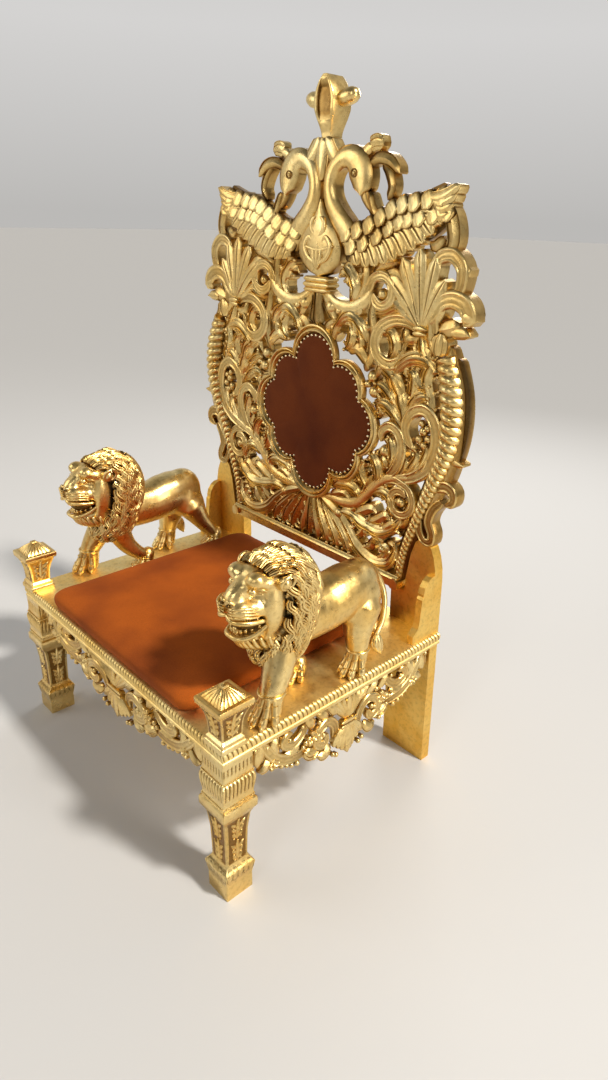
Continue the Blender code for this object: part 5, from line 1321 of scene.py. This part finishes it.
def deck_edge(material):
    """The deck as one board with slanting reeds round its front and side edges."""
    carving = Carving()
    back = DECK_HIGH.y
    half = DECK_HALF
    low = DECK_LOW.z
    inset, rise, weight = np.array([
        (0.0500, 0.0320, 0), (0.0130, 0.0320, 0), (0.0075, 0.0312, 0.6), (0.0030, 0.0285, 1),
        (0.0008, 0.0245, 1), (0.0003, 0.0200, 1), (0.0008, 0.0160, 1), (0.0020, 0.0125, 0.8),
        (0.0034, 0.0095, 0.5), (0.0044, 0.0070, 0), (0.0022, 0.0052, 0), (0.0022, 0.0, 0),
        (0.0500, 0.0, 0)]).T
    corner = 0.004
    path = [(-half, back)]
    for cx, cy, start in ((-half + corner, FRONT_Y + corner, 180), (half - corner, FRONT_Y + corner, 270)):
        path += [(cx + corner * math.cos(math.radians(start + 22.5 * k)),
                  cy + corner * math.sin(math.radians(start + 22.5 * k))) for k in range(5)]
    path.append((half, back))
    path = np.array(path)
    run = run_along(path)
    goal = np.arange(0, run[-1], REED_STEP)
    line = read_at(path, run, goal)
    ahead = unit(np.gradient(line, axis=0))
    inward = np.stack([-ahead[:, 1], ahead[:, 0]], 1)
    phase = goal[:, None] / REED_PITCH + REED_SLANT * rise[None, :]
    swell = np.abs(np.sin(math.pi * phase)) ** 1.1
    depth = inset[None, :] + REED_DEPTH * weight[None, :] * (1 - swell)
    x = line[:, :1] + inward[:, :1] * depth
    y = line[:, 1:] + inward[:, 1:] * depth
    z = low + rise[None, :] + 0 * x
    # Painted shade in the grooves between the reeds
    shade = np.where(weight[None, :] > 0.3, np.clip(2.0 * swell - 0.30, 0, 1), 0.9)
    carving.add_rings(np.stack([x, y, z], -1), shade)
    box(carving, (-half + 0.03, FRONT_Y + 0.03, low + 0.0001), (half - 0.03, back, DECK_TOP - 0.0001))
    return carving.build("deck_moulding", material)


def square_rings(carving, centre, levels, corner=CORNER_CUT, ripple=None, side_steps=1, ground=None):
    """A square section that follows levels of height, half width and ripple depth.

    ripple is the width of one upright reed. ground is a range of heights whose faces are painted dark as
    shade behind their relief.
    """
    rings, shades = [], []
    for z, half, wave in levels:
        ring, tone = [], []
        for c, s in QUARTERS:
            for k in range(side_steps + 1):
                along = -half + corner + (2 * half - 2 * corner) * k / side_steps
                cut = 0.0
                if wave:
                    cut = wave * (1 - abs(math.sin(math.pi * along / ripple + math.pi / 2)) ** 0.6)
                px, py = along, -half + cut
                ring.append((centre[0] + c * px - s * py, centre[1] + s * px + c * py, z))
                sunk = ground and ground[0] < z < ground[1] and abs(along) < half * 0.86
                # Painted shade: the sunk ground and the reeds' grooves are darker
                tone.append(0.16 if sunk else 0.95 if not wave else max(0.0, 0.95 - cut / wave * 1.25))
        rings.append(ring)
        shades.append(tone)
    carving.add_rings(rings, shades)


def beads(carving, centre, z, half):
    """A row of small beads round a square section."""
    count = int(2 * half / BEAD_PITCH)
    for c, s in QUARTERS:
        for k in range(count):
            along = -half + (k + 0.5) * 2 * half / count
            ball(carving, (centre[0] + c * along + s * half, centre[1] + s * along - c * half, z),
                 (BEAD_RADIUS, BEAD_RADIUS, BEAD_RADIUS), 6)


def face_boards(carving, centre, half_at):
    """Boards on the four faces of a square piece; across and up in cm, depth out of the face."""
    boards = []
    for c, s in QUARTERS:
        def place(x, z, depth, c=c, s=s):
            x, z, depth = spread(x, z, depth)
            out = -(half_at(z * CM) - FACE_DEPTH + depth)
            return np.stack([centre[0] + c * x * CM - s * out, centre[1] + s * x * CM + c * out, z * CM], -1)

        boards.append(Board(carving, place, FACE_DEPTH, FACE_GAP))
    return boards


def spray(board, low, high, half):
    """An upright spray of leaves and berries between two heights, in centimetres."""
    tall = high - low
    board.leaf([(0, low, 0.34), (0, low + tall * 0.5, 0.60), (0, high, 0.30)], 2, (1.0, 4.0, 2.6),
               rise=1.6, dome=2.4)
    for side in (-1, 1):
        for share, reach in ((0.05, 0.75), (0.32, 0.85), (0.58, 1.0)):
            z = low + tall * share
            board.leaf([(0.1 * side, z, 0.26), (side * half * 0.5 * reach, z + tall * 0.14, 0.50),
                        (side * half * reach, z + tall * 0.30, 0.30)], 2, (0.6, 3.4, 2.2), rise=1.5,
                       dome=2.0)
            board.berry(side * half * 0.66 * reach, z + tall * 0.04, 0.30, -2.6, 8)
    board.berry(0, high, 0.38, -3.0, 8)


def post(name, material):
    """A corner post: stepped plinth, flared body with leaf sprays, beaded and fluted cap."""
    low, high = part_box("post_" + name)
    centre = ((low.x + high.x) / 2, (low.y + high.y) / 2)
    foot = low.z
    cap = (high.x - low.x) / 2
    plinth, neck = 0.0345, 0.0265
    carving = Carving()
    flare = [(foot + 0.030 + 0.073 * k / 8, neck + (cap * 0.90 - neck) * (k / 8) ** 2.2) for k in range(9)]
    levels = [(foot, plinth), (foot + 0.0105, plinth), (foot + 0.0125, plinth * 0.965),
              (foot + 0.0135, plinth * 0.90), (foot + 0.0205, plinth * 0.90), (foot + 0.0235, neck + 0.002),
              (foot + 0.026, neck)] + flare
    levels += [(foot + 0.1045, cap * 0.975), (foot + 0.1065, cap), (foot + 0.1145, cap),
               (foot + 0.1170, cap * 0.97), (foot + 0.1182, cap * 0.90), (foot + 0.1178, cap * 0.84)]
    square_rings(carving, centre, [(z, half, 0) for z, half in levels] + [(foot + 0.118, 0.008, 0)],
                 side_steps=16, ground=(foot + 0.029, foot + 0.100))
    rise, fall = 0.1176, 0.1425
    along = np.linspace(-1, 1, 65)
    up = np.linspace(0, 1, 9)[:, None]
    for c, s in QUARTERS:
        half = cap * 0.78 * (1 - up) + 0.0065 * up
        flutes = np.abs(np.sin(math.pi * 3.0 * (along + 1))) ** 0.4
        flutes = flutes * np.clip(np.sin(math.pi * (0.08 + 0.84 * up)), 0, 1)
        z = foot + rise + (fall - rise) * up ** 0.85 + 0.0022 * flutes
        x = half * along
        y = -half + 0 * along
        top = np.stack([centre[0] + c * x - s * y, centre[1] + s * x + c * y, z + 0 * x], -1)
        base = np.stack([centre[0] + 0 * x[:, :2], centre[1] + 0 * x[:, :2], foot + 0.116 + 0 * x[:, :2]], -1)
        # Painted shade in the flutes' grooves
        tone = np.concatenate([0.15 + 0.85 * flutes + 0 * x, np.zeros((len(up), 2))], 1)
        carving.add_rings(np.concatenate([top, base], 1), tone)
    square_rings(carving, centre, [(foot + 0.1405, 0.0075, 0), (foot + 0.1435, 0.0085, 0),
                                   (foot + 0.1475, 0.0070, 0), (high.z, 0.0012, 0)], CORNER_CUT / 2)
    beads(carving, centre, foot + 0.1030, cap * 0.955)
    profile = np.array(levels)
    for board in face_boards(carving, centre, lambda z: np.interp(z, profile[:, 0], profile[:, 1])):
        spray(board, (foot + 0.030) / CM, (foot + 0.093) / CM, 2.2)
        for edge in (-1, 1):
            board.strip([(edge * (neck / CM - 0.18), (foot + 0.028) / CM, 0.14),
                         (edge * (neck / CM + 0.05), (foot + 0.066) / CM, 0.16),
                         (edge * (cap / CM * 0.84), (foot + 0.099) / CM, 0.18)], (-0.2, 0.2, -0.2), 1,
                        columns=6)
    return carving.build("post_" + name + "_carving", material)


def front_leg(name, material):
    """A front leg: block, beads, gadrooned cornice, capital, cavetto, relief shaft and foot."""
    low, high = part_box("front_leg_" + name)
    centre = ((low.x + high.x) / 2, (low.y + high.y) / 2)
    top = high.z
    wide = (high.x - low.x) / 2
    foot_half, flare, shaft = 0.037, 0.043, 0.030
    carving = Carving()
    shape = [(0.0, foot_half), (0.095, foot_half), (0.102, foot_half * 0.985), (0.133, flare * 0.90),
             (0.189, flare * 0.985), (0.200, flare * 0.95), (0.209, flare * 0.88), (0.235, shaft * 1.04),
             (0.250, shaft * 0.98), (0.332, shaft), (0.446, shaft * 1.04), (0.531, shaft * 1.16),
             (0.565, wide * 0.76), (0.592, wide * 0.86), (0.612, wide * 0.96), (0.620, wide),
             (0.668, wide), (0.676, wide * 0.97), (0.681, wide * 0.88), (0.715, wide * 0.88)]
    levels = [(share * top, half, 0) for share, half in shape]
    cornice = [(0.722, 0.865, 0), (0.738, 0.885, 0), (0.755, 0.90, 0.0012), (0.775, 0.935, 0.0040),
               (0.800, 0.975, 0.0052), (0.822, 0.990, 0.0052), (0.840, 0.965, 0.0044), (0.850, 0.91, 0.0020),
               (0.856, 0.86, 0), (0.880, 0.86, 0), (0.895, 0.85, 0), (0.915, 0.85, 0.0034),
               (0.955, 0.855, 0.0034), (0.968, 0.855, 0), (1.0, 0.855, 0)]
    levels += [(share * top, wide * half, wave) for share, half, wave in cornice]
    square_rings(carving, centre, levels, ripple=REED_WIDTH, side_steps=56,
                 ground=(0.240 * top, 0.575 * top))
    beads(carving, centre, 0.866 * top, wide * 0.885)
    beads(carving, centre, 0.698 * top, wide * 0.895)
    profile = np.array([(z, half) for z, half, wave in levels])
    for board in face_boards(carving, centre, lambda z: np.interp(z, profile[:, 0], profile[:, 1])):
        low_z, high_z = 0.235 * top / CM, 0.585 * top / CM
        for edge in (-1, 1):
            board.strip([(edge * 2.55, low_z, 0.20), (edge * 2.55, (low_z + high_z) / 2, 0.20),
                         (edge * 2.95, 0.54 * top / CM, 0.22), (edge * 3.55, high_z, 0.22)], (0, 0.2, 0),
                        1.2, columns=6)
        spray(board, 0.245 * top / CM, 0.40 * top / CM, 1.7)
        spray(board, 0.41 * top / CM, 0.565 * top / CM, 1.9)
        for k in range(5):
            x = (k - 2) * 1.55
            board.leaf([(x * 0.78, 0.225 * top / CM, 0.5), (x * 0.95, 0.185 * top / CM, 0.78),
                        (x, 0.135 * top / CM, 0.62)], 2, (-0.8, 0.8, 0.5), rise=0.9, dome=1.4)
    return carving.build("front_leg_" + name + "_carving", material)


def flower(board, x, z, radius):
    """Five round petals about a bead."""
    for k in range(5):
        turn = math.radians(90 + 72 * k)
        board.leaf([(x + 0.25 * radius * math.cos(turn), z + 0.25 * radius * math.sin(turn), radius * 0.22),
                    (x + 0.70 * radius * math.cos(turn), z + 0.70 * radius * math.sin(turn), radius * 0.42),
                    (x + 1.05 * radius * math.cos(turn), z + 1.05 * radius * math.sin(turn), radius * 0.30)],
                   1, (-2, 3.4, 1.8), kind="vein", rise=1.6, dome=2.6, columns=10)
    board.berry(x, z, radius * 0.32, -3.2, 10)


def apron_half(board, half, drop, side):
    """One half of an apron: leaves, scrolls, flowers and berries from the middle outwards."""
    def scaled(points):
        return [(side * x * half, z * drop, r * 0.92) for x, z, r in points]

    def scroll(points):
        board.leaf(scaled(points), lift=(-6, 2, 1), rise=3.4, dome=3.0, kind="rim", width=1.10)

    def leaf(points, ribs=2, lift=(-6, 2, -2)):
        board.leaf(scaled(points), ribs, lift, rise=3.0, dome=4.4, width=1.12)

    scroll([(0.13, -0.66, 1.2), (0.15, -0.44, 1.3), (0.24, -0.32, 1.4), (0.34, -0.40, 1.4),
            (0.35, -0.56, 1.3), (0.27, -0.62, 1.2), (0.23, -0.50, 0.9)])
    leaf([(0.13, -0.30, 1.1), (0.18, -0.16, 1.3), (0.24, -0.07, 0.9)])
    leaf([(0.22, -0.28, 0.9), (0.28, -0.18, 1.2), (0.35, -0.10, 0.8)])
    leaf([(0.32, -0.62, 1.4), (0.40, -0.66, 1.7), (0.48, -0.58, 1.1)], 3)
    leaf([(0.20, -0.70, 1.0), (0.26, -0.80, 1.4), (0.33, -0.76, 0.9)])
    leaf([(0.38, -0.30, 1.0), (0.42, -0.18, 1.3), (0.47, -0.08, 0.9)])
    scroll([(0.44, -0.58, 1.2), (0.55, -0.56, 1.5), (0.66, -0.52, 1.6), (0.76, -0.42, 1.5),
            (0.84, -0.26, 1.3), (0.90, -0.10, 1.0)])
    scroll([(0.47, -0.10, 1.0), (0.50, -0.26, 1.3), (0.60, -0.34, 1.3), (0.69, -0.28, 1.2),
            (0.68, -0.17, 1.0), (0.61, -0.17, 0.8)])
    leaf([(0.52, -0.40, 0.9), (0.60, -0.46, 1.2), (0.68, -0.42, 0.8)])
    leaf([(0.74, -0.10, 1.2), (0.79, -0.24, 1.5), (0.75, -0.38, 1.0)])
    leaf([(0.90, -0.06, 1.4), (0.93, -0.24, 1.6), (0.95, -0.38, 0.9)])
    leaf([(0.82, -0.34, 1.0), (0.88, -0.44, 1.3), (0.94, -0.46, 0.8)])
    flower(board, side * 0.40 * half, -0.42 * drop, 2.0)
    flower(board, side * 0.80 * half, -0.46 * drop, 1.5)
    for x, z, r in ((0.28, -0.48, 0.8), (0.31, -0.50, 0.6), (0.47, -0.44, 0.8), (0.50, -0.48, 0.7),
                    (0.33, -0.24, 0.7), (0.64, -0.25, 0.7), (0.56, -0.66, 0.8), (0.62, -0.64, 0.7),
                    (0.17, -0.88, 0.7), (0.13, -0.92, 0.7), (0.86, -0.18, 0.7), (0.72, -0.56, 0.7),
                    (0.97, -0.12, 0.6), (0.51, -0.16, 0.6), (0.67, -0.60, 0.6), (0.38, -0.74, 0.7)):
        board.berry(side * x * half, z * drop, r, -1, 8)
    for k in range(1, 4):
        leaf([(0.01 * k, -0.52, 0.9), (0.035 * k + 0.01, -0.72 + 0.02 * k, 1.25),
              (0.05 * k + 0.01, -0.97 + 0.065 * k, 0.9)], lift=(-1, 2, 0))
        leaf([(0.006 * k, -0.42, 0.7), (0.03 * k, -0.28, 1.0), (0.062 * k, -0.10, 0.8)],
             lift=(-1, 1.5, 0))


def apron(name, half, drop, place, material):
    """A pierced apron: shell, collar and fan in the middle, carved halves and a band on top."""
    carving = Carving()
    board = Board(carving, place, APRON_DEPTH, APRON_GAP)
    for side in (1, -1):
        apron_half(board, half, drop, side)
    board.leaf([(0, -0.50 * drop, 1.0), (0, -0.75 * drop, 1.4), (0, -0.98 * drop, 1.0)], 2, (-1, 3, 0),
               rise=1.8, dome=2.2)
    board.leaf([(0, -0.42 * drop, 0.8), (0, -0.28 * drop, 1.0), (0, -0.10 * drop, 0.9)], 2, (-1, 2.5, 0),
               rise=1.8, dome=2.2)
    for z in (-0.46, -0.53):
        board.strip([(-0.085 * half, z * drop, 0.45), (0, z * drop, 0.5),
                     (0.085 * half, z * drop, 0.45)], (2.5, 3, 2.5), 1.5)
    board.strip([(-half + 0.05, -0.68, 0.62), (half - 0.05, -0.68, 0.62)], (0.5, 0.5, 0.5), 1.2)
    board.strip([(-half + 0.05, -1.6, 0.30), (half - 0.05, -1.6, 0.30)], (0, 0, 0), 1)
    return carving.build(name + "_carving", material)


def aprons(material):
    """The front apron between the legs and one under each side edge."""
    inset, thick = 0.012, 0.020
    low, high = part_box("apron_front")
    top = high.z

    def front(x, z, depth):
        x, z, depth = spread(x, z, depth)
        return np.stack([x * CM, FRONT_Y + inset + thick - depth, top + z * CM], -1)

    made = [("apron_front", apron("apron_front", high.x / CM, (top - low.z) / CM - 0.4, front, material))]
    low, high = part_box("apron_right")
    middle = (low.y + high.y) / 2
    half = (high.y - low.y) / 2 / CM
    for label, side in (("left", -1), ("right", 1)):
        def place(x, z, depth, side=side):
            x, z, depth = spread(x, z, depth)
            return np.stack([side * (DECK_HALF - inset - thick + depth), middle + side * x * CM,
                             top + z * CM], -1)

        name = "apron_" + label
        made.append((name, apron(name, half, (top - low.z) / CM - 0.4, place, material)))
    return made


# Finial and seat pad

def finial(material):
    """An almond-shaped block with a recessed face, on a neck, with a round knob each side."""
    low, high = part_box("finial")
    y = (low.y + high.y) / 2
    tall = high.z - low.z
    carving = Carving()
    outline = [(0.0, 0.0185), (0.06, 0.0185), (0.13, 0.0205), (0.22, 0.025), (0.35, 0.0325), (0.50, 0.0380),
               (0.62, 0.0385), (0.72, 0.0345), (0.82, 0.0270), (0.90, 0.0190), (0.96, 0.0120), (1.0, 0.0065)]
    fine = smooth_path([(wide * 100, share * 100) for share, wide in outline], 2.0)
    section = [(-1.0, 0.90), (-0.97, 0.97), (-0.90, 1.0), (-0.74, 1.0), (-0.71, 0.95), (-0.68, 0.76),
               (0.0, 0.70), (0.68, 0.76), (0.71, 0.95), (0.74, 1.0), (0.90, 1.0), (0.97, 0.97), (1.0, 0.90)]
    rings, shades = [], []
    for wide, share in fine / 100:
        deep = 0.021 + 0.0125 * float(np.interp(share, [0, 0.1, 0.45, 0.9, 1.0], [0, 0.1, 1.0, 1.0, 0.7]))
        recess = float(np.clip((share - 0.25) * 6, 0, 1) * np.clip((0.93 - share) * 8, 0, 1))
        front = [(u * wide, -deep * (1 - (1 - d) * (recess if abs(u) < 0.8 else 1.0))) for u, d in section]
        back = [(u * wide, deep * (1 - (1 - d) * (0 if abs(u) < 0.8 else 1.0))) for u, d in section[::-1]]
        rings.append([(px, y + py, low.z + share * tall) for px, py in front + back])
        # Painted shade: the recessed face is darker than its rim
        shades.append([0.55 - (0.55 - 0.4 * d ** 3) * recess * (abs(u) < 0.72) for u, d in section]
                      + [0.55] * len(section))
    carving.add_rings(rings, shades)
    for side in (1, -1):
        knob = [(side * 0.034, y, low.z + tall * 0.62), (side * 0.060, y, low.z + tall * 0.64),
                (side * 0.077, y, low.z + tall * 0.66)]
        tube(carving, knob, [0.0200, 0.0215, 0.0200], 20)
    return carving.build("finial_block", material)


# The cushion's cloth: mesh size and longest move in metres, pressure and number of frames
PAD_VOXEL = 0.006
PAD_CAP = 0.004
PAD_PRESSURE = 4
PAD_FRAMES = 20


def seat_pad(material):
    """A crowned velvet cushion: soft edges, a blown shape with a cap on how far it moves."""
    low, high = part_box("seat_pad")
    mid_x, mid_y = (low.x + high.x) / 2, (low.y + high.y) / 2
    half_x, half_y = (high.x - low.x) / 2, (high.y - low.y) / 2
    carving = Carving()
    levels = [(0.0, 0.010), (0.004, 0.004), (0.012, 0.0015), (0.026, 0.001), (0.0325, 0.0022),
              (0.0360, 0.0058), (0.0385, 0.012), (0.0405, 0.024), (0.0432, 0.050), (0.0460, 0.090),
              (0.0484, 0.135), (0.0500, 0.190), (0.0510, 0.250), (0.0514, 0.310), (0.0515, 0.3455)]
    rings = []
    for rise, inset in levels:
        a, b = half_x - inset, half_y - inset
        corner = min(0.042 + inset * 0.30, 0.85 * min(a, b))
        ring = []
        for cx, cy, start in ((1, 1, 0), (-1, 1, 90), (-1, -1, 180), (1, -1, 270)):
            for k in range(9):
                turn = math.radians(start + 90 * k / 8)
                ring.append((cx * (a - corner) + corner * math.cos(turn),
                             cy * (b - corner) + corner * math.sin(turn)))
        ring = np.array(ring + ring[:1])
        run = run_along(ring)
        x, y = read_at(ring, run, np.linspace(0, run[-1], 361)[:-1]).T
        pull = 1 - 0.004 * np.sin(2 * np.arctan2(y / half_y, x / half_x)) ** 4
        rings.append(np.stack([mid_x + x * pull, mid_y + y * pull, low.z + rise + 0 * x], -1))
    carving.add_rings(rings)
    pad = carving.build("seat_cushion", material, SOFT_ANGLE)
    blow_up(pad)
    return pad


def blow_up(pad):
    """Remeshes the cushion, lets a little pressure fill it and keeps every point near its start."""
    remesh = pad.modifiers.new("remesh", "REMESH")
    remesh.mode = "VOXEL"
    remesh.voxel_size = PAD_VOXEL
    graph = bpy.context.evaluated_depsgraph_get()
    start = bpy.data.meshes.new_from_object(pad.evaluated_get(graph))
    pad.modifiers.clear()
    material = pad.data.materials[0]
    pad.data = start
    cloth = pad.modifiers.new("cloth", "CLOTH")
    cloth.settings.quality = 5
    cloth.settings.use_pressure = True
    cloth.settings.uniform_pressure_force = PAD_PRESSURE
    cloth.settings.effector_weights.gravity = 0
    scene = bpy.context.scene
    for frame_number in range(1, PAD_FRAMES + 1):
        scene.frame_set(frame_number)
    graph = bpy.context.evaluated_depsgraph_get()
    blown = bpy.data.meshes.new_from_object(pad.evaluated_get(graph))
    pad.modifiers.clear()
    count = len(start.vertices)
    rest, moved = np.empty(count * 3), np.empty(count * 3)
    start.vertices.foreach_get("co", rest)
    blown.vertices.foreach_get("co", moved)
    rest, moved = rest.reshape(-1, 3), moved.reshape(-1, 3)
    shift = moved - rest
    length = np.linalg.norm(shift, axis=1, keepdims=True)
    shift *= np.minimum(1, PAD_CAP / np.maximum(length, 1e-9))
    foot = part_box("seat_pad")[0].z
    goal = rest + shift
    goal[:, 2] = np.maximum(goal[:, 2], foot)
    start.vertices.foreach_set("co", goal.reshape(-1))
    pad.data = start
    smooth = pad.modifiers.new("smooth", "SMOOTH")
    smooth.iterations = 6
    scene.frame_set(1)
    finish_mesh(pad, material, SOFT_ANGLE)


def show(piece, slot, *hidden):
    """Puts a piece on the throne's frame in place of the nodes it stands for."""
    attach(piece, "root")
    if hidden:
        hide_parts(*hidden)


def dress():
    """Builds every piece, puts it on the frame and hides what it stands for."""
    gold = gold_leaf("carved_gilding", PALE_GOLD, DEEP_GOLD, (0.24, 0.40), relief=True, crinkle=0.45)
    # Orange partly its own tint, partly painted warm reflection
    smooth_gold = gold_leaf("smooth_gilding", PALE_ORANGE, DEEP_ORANGE, (0.38, 0.52), relief=False,
                            crinkle=0.25)
    # Painted lighter as sunlit glare
    deck_gold = gold_leaf("deck_gilding", LIT_PALE_DECK, LIT_DEEP_DECK, (0.40, 0.56), relief=True, crinkle=0.30)
    brass = gold_leaf("brass_nails", PALE_BRASS, DEEP_BRASS, (0.15, 0.25), relief=False, crinkle=0.1)
    cloth = velvet("rust_velvet", DARK_RUST, LIGHT_RUST)
    # The medallion's velvet: the rust velvet painted darker as shade
    shaded_back_cloth = velvet("shaded_back_velvet", SHADED_DARK_RUST, SHADED_LIGHT_RUST)
    for name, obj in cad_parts.items():
        obj.data.materials.clear()
        obj.data.materials.append(cloth if name.endswith("pad") else smooth_gold)
    for piece in (*scroll_back(gold), rope_columns(gold), peacocks(gold), vase(gold)):
        show(piece, "carved_gilding", "back_panel")
    frame_piece, pad_piece, nail_piece = medallion(gold, brass, shaded_back_cloth)
    show(frame_piece, "carved_gilding", "medallion_frame")
    show(nail_piece, "carved_gilding")
    show(pad_piece, "rust_velvet", "medallion_pad")
    show(finial(gold), "carved_gilding", "finial")
    show(deck_edge(deck_gold), "plain_gilding", "seat_deck")
    for node_name, piece in aprons(gold):
        show(piece, "carved_gilding", node_name)
    for label, side in (("left", -1), ("right", 1)):
        show(lion("lion_" + label, side, LION_STARTS[label], gold), "carved_gilding", "lion_" + label)
        show(post(label, gold), "carved_gilding", "post_" + label)
        show(front_leg(label, gold), "carved_gilding", "front_leg_" + label)
    cushion = seat_pad(cloth)
    show(cushion, "rust_velvet", "seat_pad")


stage()
dress()
